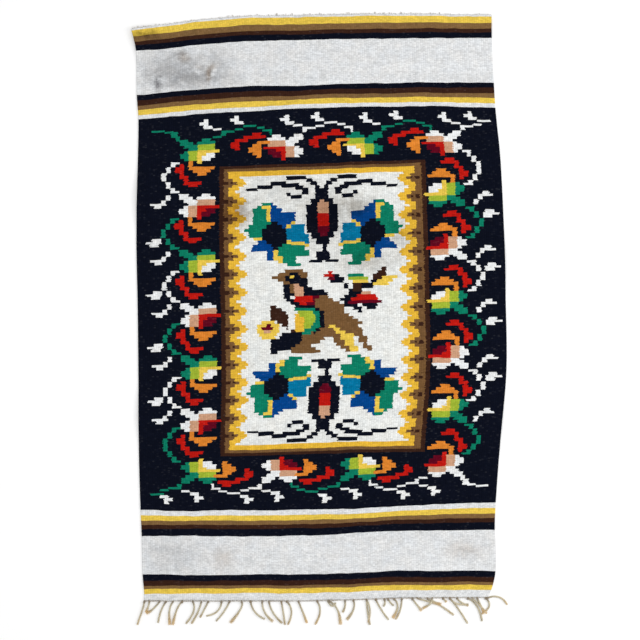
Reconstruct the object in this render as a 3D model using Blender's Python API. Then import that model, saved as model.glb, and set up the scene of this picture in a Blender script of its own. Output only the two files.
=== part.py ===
"""Woven tapestry laid face up on the ground: one cloth, and the fringe of knotted warp ends at its lower end."""

import bisect
import math
from collections import namedtuple

import bmesh
import bpy
from mathutils import Vector

# All sizes are in millimetres and are turned into metres where the meshes are made.
MM = 0.001

# The woven cloth
CLOTH_THICKNESS = 3.0
CELLS_ACROSS = 32
LONGEST_CELL = 30.0

# Where one throw of weft lies now. Across is measured from the middle of the lower end, along from
# its left corner. left and right are the two selvedges, and along_0 to along_100 say how far up the
# throw lies at each quarter of the width.
WeftLine = namedtuple("WeftLine", "place left right along_0 along_25 along_50 along_75 along_100")
WEFT_LINES = (
    WeftLine("lower end", -432, 409, 0, 0, 1, 7, 9),
    WeftLine("lower yellow stripe", -432, 420, 18, 20, 21, 28, 28),
    WeftLine("lower white band, outer side", -436, 429, 62, 62, 66, 76, 76),
    WeftLine("lower white band, inner side", -438, 427, 156, 156, 159, 169, 171),
    WeftLine("dark field, lower side", -441, 430, 222, 222, 224, 234, 241),
    WeftLine("pale panel, lower side", -445, 441, 370, 376, 383, 388, 392),
    WeftLine("panel, first third", -446, 456, 539, 545, 552, 559, 563),
    WeftLine("panel, middle", -448, 454, 723, 729, 735, 741, 747),
    WeftLine("panel, last third", -451, 450, 882, 889, 895, 902, 907),
    WeftLine("pale panel, upper side", -448, 441, 1056, 1062, 1071, 1078, 1084),
    WeftLine("dark field, upper side", -446, 429, 1176, 1194, 1204, 1209, 1204),
    WeftLine("upper white band, inner side", -450, 425, 1238, 1256, 1262, 1268, 1268),
    WeftLine("upper white band, outer side", -452, 420, 1346, 1366, 1373, 1377, 1378),
    WeftLine("plain upper end", -463, 419, 1399, 1427, 1434, 1437, 1433),
)
QUARTERS = (0.0, 0.25, 0.5, 0.75, 1.0)

# Soft waves where the cloth stands a little off the ground. heading is the direction that the
# wave's crest runs in, in degrees from the cloth's width.
Wave = namedtuple("Wave", "place across along heading half_length half_width height")
WAVES = (
    Wave("left selvedge, upper", -452, 985, 4, 150, 95, 5.5),
    Wave("left selvedge, lower", -446, 455, -6, 130, 85, 4.0),
    Wave("right selvedge, upper", 452, 830, 5, 170, 105, 6.5),
    Wave("right selvedge, lower", 446, 430, -8, 140, 90, 4.5),
    Wave("lower right corner", 440, 130, 35, 110, 75, 6.0),
    Wave("upper left corner", -470, 1400, 40, 130, 90, 7.0),
    Wave("upper right corner", 425, 1430, -35, 110, 80, 4.5),
    Wave("crease in the lower band", -110, 140, -28, 120, 62, 2.5),
    Wave("ripple over the panel", 90, 1150, 6, 190, 80, 2.0),
)

# The fringe
STRIP_GAP = 0.3
STRIP_DEPTH = 3.0
STRAND_ROOT_WIDTH = 4.4
STRAND_TIP_WIDTH = 3.0
STRAND_ROOT_HEIGHT = 3.0
STRAND_TIP_HEIGHT = 2.0
STRAND_STEPS = 7

# Each strand lies in one bend on the ground. root is its place across, the other columns are the
# places of its middle and its tip, across from the root and out from the strip.
Strand = namedtuple("Strand", "root mid_across mid_out tip_across tip_out")
STRANDS = (
    Strand(-429, -6, 22, -16, 57),
    Strand(-394, -18, 20, -33, 28),
    Strand(-379, -12, 24, -19, 52),
    Strand(-361, -9, 22, -8, 57),
    Strand(-339, -13, 20, -23, 57),
    Strand(-313, 2, 24, -17, 54),
    Strand(-292, -8, 25, -24, 54),
    Strand(-275, -11, 22, -20, 39),
    Strand(-242, -11, 24, -38, 35),
    Strand(-223, -13, 24, -33, 48),
    Strand(-193, -3, 19, -28, 52),
    Strand(-171, 11, 26, 35, 43),
    Strand(-143, 7, 27, 27, 49),
    Strand(-126, 10, 27, 32, 53),
    Strand(-96, 5, 27, 9, 57),
    Strand(-82, 11, 25, 2, 57),
    Strand(-54, 10, 24, 21, 53),
    Strand(-8, 7, 26, -5, 57),
    Strand(22, 20, 22, 27, 58),
    Strand(60, 0, 16, -6, 29),
    Strand(81, 0, 23, -17, 48),
    Strand(113, 2, 22, 8, 62),
    Strand(136, 12, 23, 31, 50),
    Strand(157, 1, 10, -3, 18),
    Strand(166, 7, 10, 14, 16),
    Strand(181, 8, 20, -4, 47),
    Strand(199, -3, 26, -15, 51),
    Strand(225, 13, 17, 23, 30),
    Strand(262, 27, 14, 65, 41),
    Strand(300, 5, 5, 9, 9),
    Strand(317, 20, 25, 44, 62),
    Strand(335, 10, 10, 28, 19),
    Strand(362, 17, 27, 38, 62),
    Strand(384, 8, 16, 16, 34),
    Strand(405, 5, 18, 4, 40),
)
# The last strand leaves the strip's right end and bends away from the corner.
CORNER_STRAND = Strand(409, 29, -2, 49, 17)


def smooth_through(knots, values, at):
    """Read a smooth curve that passes through every value at its knot."""
    last = len(knots) - 1
    i = min(max(bisect.bisect_right(knots, at) - 1, 0), last - 1)

    def slope(k):
        low = max(k - 1, 0)
        high = min(k + 1, last)
        return (values[high] - values[low]) / (knots[high] - knots[low])

    span = knots[i + 1] - knots[i]
    t = (at - knots[i]) / span
    start = (1 + 2 * t) * (1 - t) ** 2 * values[i] + t * (1 - t) ** 2 * span * slope(i)
    end = t * t * (3 - 2 * t) * values[i + 1] - t * t * (1 - t) * span * slope(i + 1)
    return start + end


THROWS = [line.along_50 for line in WEFT_LINES]
ALONG_COLUMNS = ("along_0", "along_25", "along_50", "along_75", "along_100")


def on_cloth(share_across, throw):
    """Give the place on the ground of one warp of one throw of weft."""
    left = smooth_through(THROWS, [line.left for line in WEFT_LINES], throw)
    right = smooth_through(THROWS, [line.right for line in WEFT_LINES], throw)
    quarters = []
    for column in ALONG_COLUMNS:
        quarters.append(smooth_through(THROWS, [getattr(line, column) for line in WEFT_LINES], throw))
    return left + (right - left) * share_across, smooth_through(QUARTERS, quarters, share_across)


def lift(across, along):
    """Height of the cloth's under side above the ground, nothing where it lies flat."""
    height = 0.0
    for wave in WAVES:
        turn = math.radians(wave.heading)
        dx = across - wave.across
        dy = along - wave.along
        on_crest = (dx * math.cos(turn) + dy * math.sin(turn)) / wave.half_length
        off_crest = (dy * math.cos(turn) - dx * math.sin(turn)) / wave.half_width
        reach = math.hypot(on_crest, off_crest)
        if reach < 1.0:
            height += wave.height * math.cos(reach * math.pi / 2) ** 2
    return height


def throws_of_the_mesh():
    """Every line of the table, with even steps between them."""
    throws = [THROWS[0]]
    for low, high in zip(THROWS, THROWS[1:]):
        steps = math.ceil((high - low) / LONGEST_CELL)
        throws += [low + (high - low) * step / steps for step in range(1, steps + 1)]
    return throws


def piece_from(mesh_builder, name, colour, roughness):
    """Turn a filled bmesh into a named object with its own material."""
    bmesh.ops.recalc_face_normals(mesh_builder, faces=mesh_builder.faces)
    mesh = bpy.data.meshes.new(name)
    mesh_builder.to_mesh(mesh)
    mesh_builder.free()
    mesh.shade_smooth()
    mesh.set_sharp_from_angle(angle=math.radians(35))
    piece = bpy.data.objects.new(name, mesh)
    bpy.context.scene.collection.objects.link(piece)
    material = bpy.data.materials.new(name)
    material.use_nodes = True
    shader = material.node_tree.nodes["Principled BSDF"]
    shader.inputs["Base Color"].default_value = (*colour, 1.0)
    shader.inputs["Roughness"].default_value = roughness
    shader.inputs["Metallic"].default_value = 0.0
    mesh.materials.append(material)
    return piece


def make_cloth():
    """One sheet of even thickness that follows the weft lines and the waves."""
    mesh_builder = bmesh.new()
    under, upper = [], []
    for throw in throws_of_the_mesh():
        under_row, upper_row = [], []
        for column in range(CELLS_ACROSS + 1):
            across, along = on_cloth(column / CELLS_ACROSS, throw)
            height = lift(across, along)
            under_row.append(mesh_builder.verts.new(Vector((across, along, height)) * MM))
            upper_row.append(mesh_builder.verts.new(Vector((across, along, height + CLOTH_THICKNESS)) * MM))
        under.append(under_row)
        upper.append(upper_row)
    for row in range(len(under) - 1):
        for column in range(CELLS_ACROSS):
            for side in (under, upper):
                corners = (side[row][column], side[row][column + 1],
                           side[row + 1][column + 1], side[row + 1][column])
                mesh_builder.faces.new(corners)
    for column in range(CELLS_ACROSS):
        for row in (0, -1):
            mesh_builder.faces.new((under[row][column], under[row][column + 1],
                                    upper[row][column + 1], upper[row][column]))
    for row in range(len(under) - 1):
        for column in (0, -1):
            mesh_builder.faces.new((under[row][column], under[row + 1][column],
                                    upper[row + 1][column], upper[row][column]))
    return piece_from(mesh_builder, "cloth", colour=(0.24, 0.21, 0.17), roughness=0.9)


def lower_edge():
    """The corners of the cloth's lower edge, from left to right."""
    return [on_cloth(column / CELLS_ACROSS, THROWS[0]) for column in range(CELLS_ACROSS + 1)]


def height_of_edge(edge, across):
    """Read the lower edge's straight pieces at one place across."""
    i = min(max(bisect.bisect_right([x for x, _ in edge], across) - 1, 0), len(edge) - 2)
    (x0, y0), (x1, y1) = edge[i], edge[i + 1]
    return y0 + (y1 - y0) * (across - x0) / (x1 - x0)


def grow_strand(mesh_builder, root_ring, root_middle, strand, first_heading):
    """Lead a four-sided strand away from the strip in one bend, and close its tip.

    root_ring holds the root's corners: right below, right above, left above and left below, as
    seen by someone who walks along the strand.
    """
    middle = Vector((strand.mid_across, -strand.mid_out))
    tip = Vector((strand.tip_across, -strand.tip_out))
    bend = middle * 2 - tip / 2
    ring = root_ring
    for step in range(1, STRAND_STEPS + 1):
        t = step / STRAND_STEPS
        centre = root_middle + bend * (2 * t * (1 - t)) + tip * (t * t)
        heading = (bend * (1 - t) + (tip - bend) * t).normalized()
        if step == 1:
            heading = (heading + first_heading).normalized()
        half = (STRAND_ROOT_WIDTH + (STRAND_TIP_WIDTH - STRAND_ROOT_WIDTH) * t) / 2
        height = STRAND_ROOT_HEIGHT + (STRAND_TIP_HEIGHT - STRAND_ROOT_HEIGHT) * t
        to_the_right = Vector((heading.y, -heading.x)) * half
        corners = ((centre + to_the_right, 0.0), (centre + to_the_right, height),
                   (centre - to_the_right, height), (centre - to_the_right, 0.0))
        new_ring = [mesh_builder.verts.new(Vector((spot.x, spot.y, z)) * MM) for spot, z in corners]
        for k in range(4):
            mesh_builder.faces.new((ring[k], ring[(k + 1) % 4], new_ring[(k + 1) % 4], new_ring[k]))
        ring = new_ring
    mesh_builder.faces.new(ring)


def make_fringe():
    """A narrow strip along the cloth's lower end, from which the strands grow."""
    edge = lower_edge()
    half = STRAND_ROOT_WIDTH / 2
    stops = set()
    for strand in STRANDS:
        stops.update((strand.root - half, strand.root + half))
    for across, _ in edge:
        if all(abs(across - strand.root) > half + 1.0 for strand in STRANDS):
            stops.add(across)
    stops = sorted(stops)

    mesh_builder = bmesh.new()
    sections = {}
    for across in stops:
        inner = height_of_edge(edge, across) - STRIP_GAP
        corners = ((inner, 0.0), (inner, STRAND_ROOT_HEIGHT),
                   (inner - STRIP_DEPTH, STRAND_ROOT_HEIGHT), (inner - STRIP_DEPTH, 0.0))
        sections[across] = [mesh_builder.verts.new(Vector((across, along, z)) * MM) for along, z in corners]
    outer_side = 2
    roots = {strand.root - half: strand for strand in STRANDS}
    for low, high in zip(stops, stops[1:]):
        for k in range(4):
            if k == outer_side and low in roots:
                continue
            mesh_builder.faces.new((sections[low][k], sections[low][(k + 1) % 4],
                                    sections[high][(k + 1) % 4], sections[high][k]))
    mesh_builder.faces.new(sections[stops[0]])

    for low, strand in roots.items():
        left, right = sections[low], sections[strand.root + half]
        middle = Vector((strand.root, height_of_edge(edge, strand.root) - STRIP_GAP - STRIP_DEPTH))
        ring = [left[3], left[2], right[2], right[3]]
        grow_strand(mesh_builder, ring, middle, strand, Vector((0.0, -1.0)))
    end = sections[stops[-1]]
    middle = Vector((stops[-1], height_of_edge(edge, stops[-1]) - STRIP_GAP - STRIP_DEPTH / 2))
    grow_strand(mesh_builder, [end[3], end[2], end[1], end[0]], middle, CORNER_STRAND, Vector((1.0, 0.0)))
    return piece_from(mesh_builder, "fringe", colour=(0.46, 0.38, 0.25), roughness=0.9)


def stand_on_origin(pieces):
    """Move the pieces together so that the middle of their box lies on the origin."""
    corners = [vertex.co for piece in pieces for vertex in piece.data.vertices]
    middle_x = (min(c.x for c in corners) + max(c.x for c in corners)) / 2
    middle_y = (min(c.y for c in corners) + max(c.y for c in corners)) / 2
    for piece in pieces:
        piece.location = (-middle_x, -middle_y, 0.0)


def main():
    for old in list(bpy.data.objects):
        bpy.data.objects.remove(old, do_unlink=True)
    stand_on_origin([make_cloth(), make_fringe()])
    bpy.context.view_layer.update()


main()
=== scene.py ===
"""A woven tapestry laid face up: five lengths of ribbed weave, a fringe of knotted warp ends along the
lower end, the cut warps of the plain upper end, a pale floor and soft light."""

import math
from collections import namedtuple

import bpy
import numpy as np
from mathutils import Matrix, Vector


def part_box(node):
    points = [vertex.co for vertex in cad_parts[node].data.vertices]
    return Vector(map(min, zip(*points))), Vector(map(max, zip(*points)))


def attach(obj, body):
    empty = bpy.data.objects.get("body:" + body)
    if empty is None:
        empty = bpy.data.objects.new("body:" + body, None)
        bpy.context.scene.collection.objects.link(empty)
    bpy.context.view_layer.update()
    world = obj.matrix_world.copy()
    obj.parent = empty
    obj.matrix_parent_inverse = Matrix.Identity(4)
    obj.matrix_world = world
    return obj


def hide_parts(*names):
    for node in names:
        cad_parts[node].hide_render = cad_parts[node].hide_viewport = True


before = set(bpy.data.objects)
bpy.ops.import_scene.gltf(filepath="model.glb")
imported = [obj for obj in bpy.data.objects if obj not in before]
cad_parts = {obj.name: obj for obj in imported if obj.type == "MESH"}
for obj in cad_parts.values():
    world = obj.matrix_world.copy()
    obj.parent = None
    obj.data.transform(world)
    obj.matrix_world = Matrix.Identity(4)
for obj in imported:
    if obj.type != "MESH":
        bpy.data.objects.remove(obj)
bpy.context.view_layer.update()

bl_info = {
    "name": "Woven Tapestry",
    "version": (1, 0, 0),
    "blender": (4, 5, 0),
    "location": "3D View > Sidebar > Tapestry",
    "description": "Weaves a tapestry that lies on a pale floor, with its fringe and cut warp ends",
    "category": "Add Mesh",
}

# Tables and plain numbers are in millimetres, warps or rows, and become metres where meshes are made.
MM = 0.001

# Where one throw of weft lies now. Across is measured from the middle of the lower end, along from its
# left corner. left and right are the two selvedges, and along_0 to along_100 say how far up the throw
# lies at each quarter of the width.
WeftLine = namedtuple("WeftLine", "place left right along_0 along_25 along_50 along_75 along_100")
WEFT_LINES = (
    WeftLine("lower end", -432, 409, 0, 0, 1, 7, 9),
    WeftLine("lower yellow stripe", -432, 420, 18, 20, 21, 28, 28),
    WeftLine("lower white band, outer side", -436, 429, 65, 64, 66, 73, 73),
    WeftLine("lower white band, inner side", -438, 427, 156, 156, 159, 169, 171),
    WeftLine("dark field, lower side", -441, 430, 222, 222, 224, 234, 241),
    WeftLine("pale panel, lower side", -445, 441, 370, 376, 383, 388, 392),
    WeftLine("panel, first third", -446, 456, 539, 545, 552, 559, 563),
    WeftLine("panel, middle", -448, 454, 723, 729, 735, 741, 747),
    WeftLine("panel, last third", -451, 450, 882, 889, 895, 902, 907),
    WeftLine("pale panel, upper side", -448, 441, 1058, 1064, 1071, 1078, 1084),
    WeftLine("dark field, upper side", -446, 429, 1176, 1194, 1204, 1209, 1204),
    WeftLine("upper white band, inner side", -450, 425, 1238, 1256, 1262, 1268, 1268),
    WeftLine("upper white band, outer side", -452, 420, 1346, 1366, 1373, 1377, 1378),
    WeftLine("plain upper end", -463, 419, 1399, 1427, 1434, 1437, 1433),
)
THROWS = [line.along_50 for line in WEFT_LINES]
LAST_THROW = THROWS[-1]
QUARTERS = (0.0, 0.25, 0.5, 0.75, 1.0)

# Soft waves and creases where the cloth stands a little off the ground. heading is the direction that
# the crest runs in, in degrees from the cloth's width.
Wave = namedtuple("Wave", "place across along heading half_length half_width height")
WAVES = (
    Wave("left selvedge, upper", -452, 985, 4, 150, 95, 5.5),
    Wave("left selvedge, lower", -446, 455, -6, 130, 85, 4.0),
    Wave("right selvedge, upper", 452, 830, 5, 170, 105, 6.5),
    Wave("right selvedge, lower", 446, 430, -8, 140, 90, 4.5),
    Wave("lower right corner", 440, 130, 35, 110, 75, 6.0),
    Wave("upper left corner", -470, 1400, 40, 130, 90, 7.0),
    Wave("upper right corner", 425, 1430, -35, 110, 80, 4.5),
    Wave("crease in the lower band", -110, 140, -28, 120, 62, 2.5),
    Wave("ripple over the panel", 90, 1150, 6, 190, 80, 2.0),
)
CREASES = (
    Wave("first crease by the stripes", -104, 128, -32, 70, 11, 0.9),
    Wave("second crease by the stripes", -60, 136, -26, 54, 9, 0.7),
    Wave("short crease in the white band", 20, 108, 18, 48, 12, 0.6),
    Wave("crease at the lower right corner", 372, 118, 40, 74, 15, 1.0),
    Wave("crease at the left of the field", -396, 300, 62, 60, 13, 0.8),
    Wave("crease across the upper band", -230, 1318, -20, 84, 13, 0.8),
    Wave("crease at the upper left corner", -412, 1352, 38, 66, 14, 1.0),
    Wave("crease by the upper right corner", 352, 1352, -36, 62, 12, 0.8),
    Wave("long ripple at the left selvedge", -410, 760, 84, 120, 20, 0.8),
    Wave("long ripple at the right selvedge", 420, 610, 96, 110, 20, 0.9),
)

# The loom: warps across, rows of weft along, and the picks that a row is woven in
WARPS = 164
ROWS = 292
PICKS_PER_ROW = 2
PICKS = ROWS * PICKS_PER_ROW
# The face has this many places to a rib, and this share of the yarns turns back one place too early, and as
# many one place too late.
RIB_PLACES = 3
EARLY_TURNS = 0.15

# The cloth's five lengths, each from one row to another. The cuts lie between two throws of weft.
Length = namedtuple("Length", "name first_row last_row")
LENGTHS = (
    Length("cloth_lower_end", 0, 45.5),
    Length("cloth_field_lower", 45.5, 112),
    Length("cloth_field_middle", 112, 179),
    Length("cloth_field_upper", 179, 245.5),
    Length("cloth_upper_end", 245.5, ROWS),
)

# Stripes over the whole width: the row that each starts at, counted up from the fringe, and its yarn
Stripe = namedtuple("Stripe", "row yarn")
STRIPES = (
    Stripe(0, "W"), Stripe(3.5, "Y"), Stripe(6, "E"), Stripe(7.5, "D"), Stripe(10, "K"),
    Stripe(13, "W"), Stripe(32.5, "K"), Stripe(36, "D"), Stripe(38, "E"), Stripe(40, "Y"),
    Stripe(42.5, "W"), Stripe(45, "K"),
    Stripe(245.5, "W"), Stripe(247.5, "Y"), Stripe(250, "E"), Stripe(252, "D"), Stripe(254.5, "K"),
    Stripe(257, "W"), Stripe(279.5, "K"), Stripe(282.5, "D"), Stripe(284.5, "E"), Stripe(287.5, "Y"),
    Stripe(291, "W"),
)

# The panel's frames, from the outer one to the ground inside
Frame = namedtuple("Frame", "yarn left right low high")
PANEL_FRAMES = (
    Frame("D", 37, 130, 73, 218),
    Frame("B", 39, 127.5, 74.5, 216.5),
    Frame("A", 41, 125, 76, 215),
    Frame("C", 43, 123, 78.3, 212.7),
)
# Each tooth of the panel's sides is a stack of steps. near and far say how far in from the brown frame's
# outer side a step starts and ends, and half is half its height in rows.
Step = namedtuple("Step", "yarn near far half")
TOOTH_STEPS = (
    Step("A", 2, 5, 4.8), Step("A", 2, 7, 4.0), Step("A", 2, 9, 2.0), Step("A", 2, 10, 0.8),
    Step("B", 2, 4, 2.4), Step("D", 0, 2, 0.9), Step("D", 3, 4, 0.5), Step("B", 4, 6, 0.9),
)
# The teeth stand a little wider apart above the panel's middle than below it.
TEETH = 15
MIDDLE_TOOTH = 145.2
LOWER_TOOTH_PITCH = 8.85
UPPER_TOOTH_PITCH = 9.15

# Charts are read from the top down. A letter is two warps wide and CHART_LINE rows high, a dot leaves the
# ground. a to d are the yarns of the bloom, which change from one bloom to the next.
CHART_LINE = 1.45
BLOOM = (
    ".aa...aa..",
    ".aaa.aaaa.",
    "..aaabbbb.",
    "...aabbbb.",
    "..abbccccc",
    ".aabbccdd.",
    ".aabbcddd.",
    "..abbcdd..",
    ".....c....",
)
PETAL_BELOW = (
    "...O......",
    ".R.O......",
    "RR.OOOOOO.",
    "RR..OOOO..",
    ".R...OO...",
    ".RR.......",
    "..R.......",
    "..RRRR....",
    "...RR.....",
)
PETAL_BESIDE = (
    "......RR..",
    "....RRRRR.",
    "..RRR.....",
    ".RR....OOO",
    ".RR...OO..",
    "..R..OOO..",
    ".....OOO..",
    "......OO..",
    ".......O..",
)
BLOOM_YARNS = {
    "lime": {"a": "G", "b": "L", "c": "Y", "d": "S"},
    "peach": {"a": "S", "b": "P", "c": "R", "d": "M"},
}
# From the row of a bloom's stem up to the top of its chart. A petal below shares the bloom's last line, and a
# petal beside starts a line above it.
BLOOM_TOP = 8
BLOOM_FOOT = BLOOM_TOP - CHART_LINE * len(BLOOM)
PETAL_FOOT = BLOOM_FOOT - CHART_LINE * (len(PETAL_BELOW) - 1)
PETAL_BESIDE_FOOT = BLOOM_TOP - CHART_LINE * (len(PETAL_BESIDE) - 1)
# How far left of an end bloom its petal starts, in warps
PETAL_BESIDE_LEFT = 17

# Blocks of the tendrils and sprigs: warps and rows, from the bloom's own warp and the row of its stem
Block = namedtuple("Block", "left right low high")
SIDE_TENDRIL = (
    Block(15, 19, 8.5, 9.5), Block(15, 17, 9, 11), Block(13, 15, 11, 14), Block(11, 13, 14.5, 18.5),
    Block(13, 15, 18.5, 21.5), Block(15, 17, 21.5, 23.5), Block(15, 19, 23, 24),
)
LAST_TENDRIL = SIDE_TENDRIL[-2:] + (
    Block(13, 15, 18.5, 21.5), Block(11, 13, 12, 18.5), Block(13, 15, 9, 12), Block(15, 17, 6.5, 9),
    Block(15, 19, 6, 7),
)
SIDE_SPRIG_LOW = (
    Block(13, 15, 5, 7.5), Block(11, 13, 2.5, 5), Block(6, 11, 2.5, 3.5), Block(8, 11, 1, 2.5),
)
SIDE_SPRIG_HIGH = (Block(4, 11, 11.5, 12.5), Block(7, 11, 12.5, 14), Block(6, 10, 10, 11.5))
END_TENDRIL = (
    Block(18, 20, 8.5, 11), Block(18, 24, 10, 11), Block(24, 28, 11, 12), Block(28, 34, 12.5, 13.5),
    Block(34, 38, 11.5, 12.5), Block(37, 41, 10, 11), Block(40, 41, 8, 10),
)
CORNER_TENDRIL = END_TENDRIL[:3] + (Block(26, 32, 13, 14),)
END_SPRIG_LEFT = (
    Block(8, 12, 14.5, 16), Block(10, 12, 13, 17.5), Block(10, 14, 12.5, 14), Block(14, 18, 11.5, 12.5),
)
END_SPRIG_RIGHT = (Block(22, 26, 15.5, 17), Block(24, 26, 14, 18.5), Block(24, 28, 14, 15.5))
# The stems that leave the first side bloom, for the corner and for the end, in warps and rows of the whole
# cloth
CORNER_STEM = (
    Block(17, 19, 232, 234.5), Block(15, 18, 234, 237), Block(12, 16, 236.5, 237.5),
    Block(6, 12, 237.5, 238.5), Block(34, 38, 232.5, 233.5),
)

# The border's two halves, each the blooms of one side and one end, the second one turned round: the rows of
# the side's stems, the warps and yarns of its blooms, the warps that the end's blooms start at, the warp of
# the last sprig, and the end's yarns. A side's petals, and most of its blooms, start at SIDE_WARP.
SIDE_WARP = 17
END_ROW = 225
Half = namedtuple("Half", "side_rows side_warps side_yarns end_starts last_sprig end_yarns turned")
HALVES = (
    Half((224.4, 196.4, 168.6, 141.8, 115.8, 89.5, 64.5), (SIDE_WARP,) * 7, ("lime", "peach") * 4,
         (20, 57, 93, 129), 127, ("lime", "peach") * 2, False),
    Half((224.7, 197, 170.6, 143, 116.2, 89.6, 63.5), (16, 16) + (SIDE_WARP,) * 5, ("peach", "lime") * 4,
         (20, 56, 92, 129), 129, ("peach", "lime") * 2, True),
)
# A turned block or chart is measured from these sums of the two sides' places
WARP_SUM = 166
ROW_SUM = 292

# The panel's ornament is drawn in steps of a little under two warps.
STEP_WARPS = 1.88

# One rosette of the panel in its own yarns, and what of it lies between two letters: a vein and a tip
ROSETTE = (
    "....GGU........",
    "...GYYUU.......",
    "..GGGYUUU......",
    "..GGGYUUUUUU...",
    "..GGGYUUUUUU...",
    "..GGGYUUUUUU...",
    "..GGGGKKUUUY...",
    ".GGGGKKKKUYTTT.",
    "GGGGKKKKKKTTTT.",
    ".GGGKKKKKKTTTT.",
    ".GGGKKKKKKTTTTT",
    "..YYKKKKKKTTTTT",
    "...UUKKKKKYTTTT",
    "..UUUUKKKGGGGG.",
    "..UUUUUKGGGGGG.",
    ".....UUYGGGGGGG",
    ".....UUYGGGGGGG",
    ".....UUYYGGG...",
    "........YGGG...",
    "..........GGG..",
)
ROSETTE_VEIN = (Block(69, 75, 177.5, 179), Block(75, 77, 176.5, 178))
ROSETTE_TIP = (Block(51, 58, 174.5, 176.5),)
ROSETTE_LEFT = 48.3
ROSETTE_FOOT = 167
ROSETTE_LINE = 1.6
# A rosette and its neighbour are mirrored over the panel's middle: their two sides' places add up to this.
UPPER_ROSETTE_SUM = 167
LOWER_ROSETTE_SUM = 166
# Below the panel's middle the ornament is turned over and woven a little tighter: its rows are LOWER_ROW less
# LOWER_SHARE times the upper ones.
LOWER_ROW = 281.7
LOWER_SHARE = 0.956

# The pod, in steps whose sides are warps of the whole cloth, and the scroll beside its tip
PodStep = namedtuple("PodStep", "low high yarn left right")
POD = (
    PodStep(168.5, 170, "K", 77, 90), PodStep(170, 174, "K", 80, 86), PodStep(174, 177.5, "K", 83, 85),
    PodStep(177.5, 180.5, "K", 80, 86), PodStep(180.5, 183.5, "K", 78, 88),
    PodStep(183.5, 197.5, "K", 76, 90), PodStep(197.5, 200.5, "K", 78, 88),
    PodStep(200.5, 207, "K", 80, 86), PodStep(181.5, 183.5, "M", 82, 85), PodStep(183.5, 186.5, "M", 81, 86),
    PodStep(186.5, 193, "R", 81, 86), PodStep(193, 198.5, "P", 81, 86), PodStep(198.5, 200, "P", 82, 84),
    PodStep(168, 169.5, "C", 83, 84), PodStep(205.5, 207.5, "C", 82, 84),
)
SCROLL = (
    Block(49, 54, 205, 206.5), Block(54, 61, 206, 208), Block(60, 67, 207.5, 209.5),
    Block(65, 73, 206.5, 208.5), Block(71, 75, 205, 207), Block(74, 77, 202.5, 206),
    Block(69, 74, 200.5, 202.5), Block(67, 69, 202, 204), Block(67, 76, 210, 212),
    Block(76, 79, 208.5, 210.5), Block(78, 81, 207, 209),
)

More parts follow.
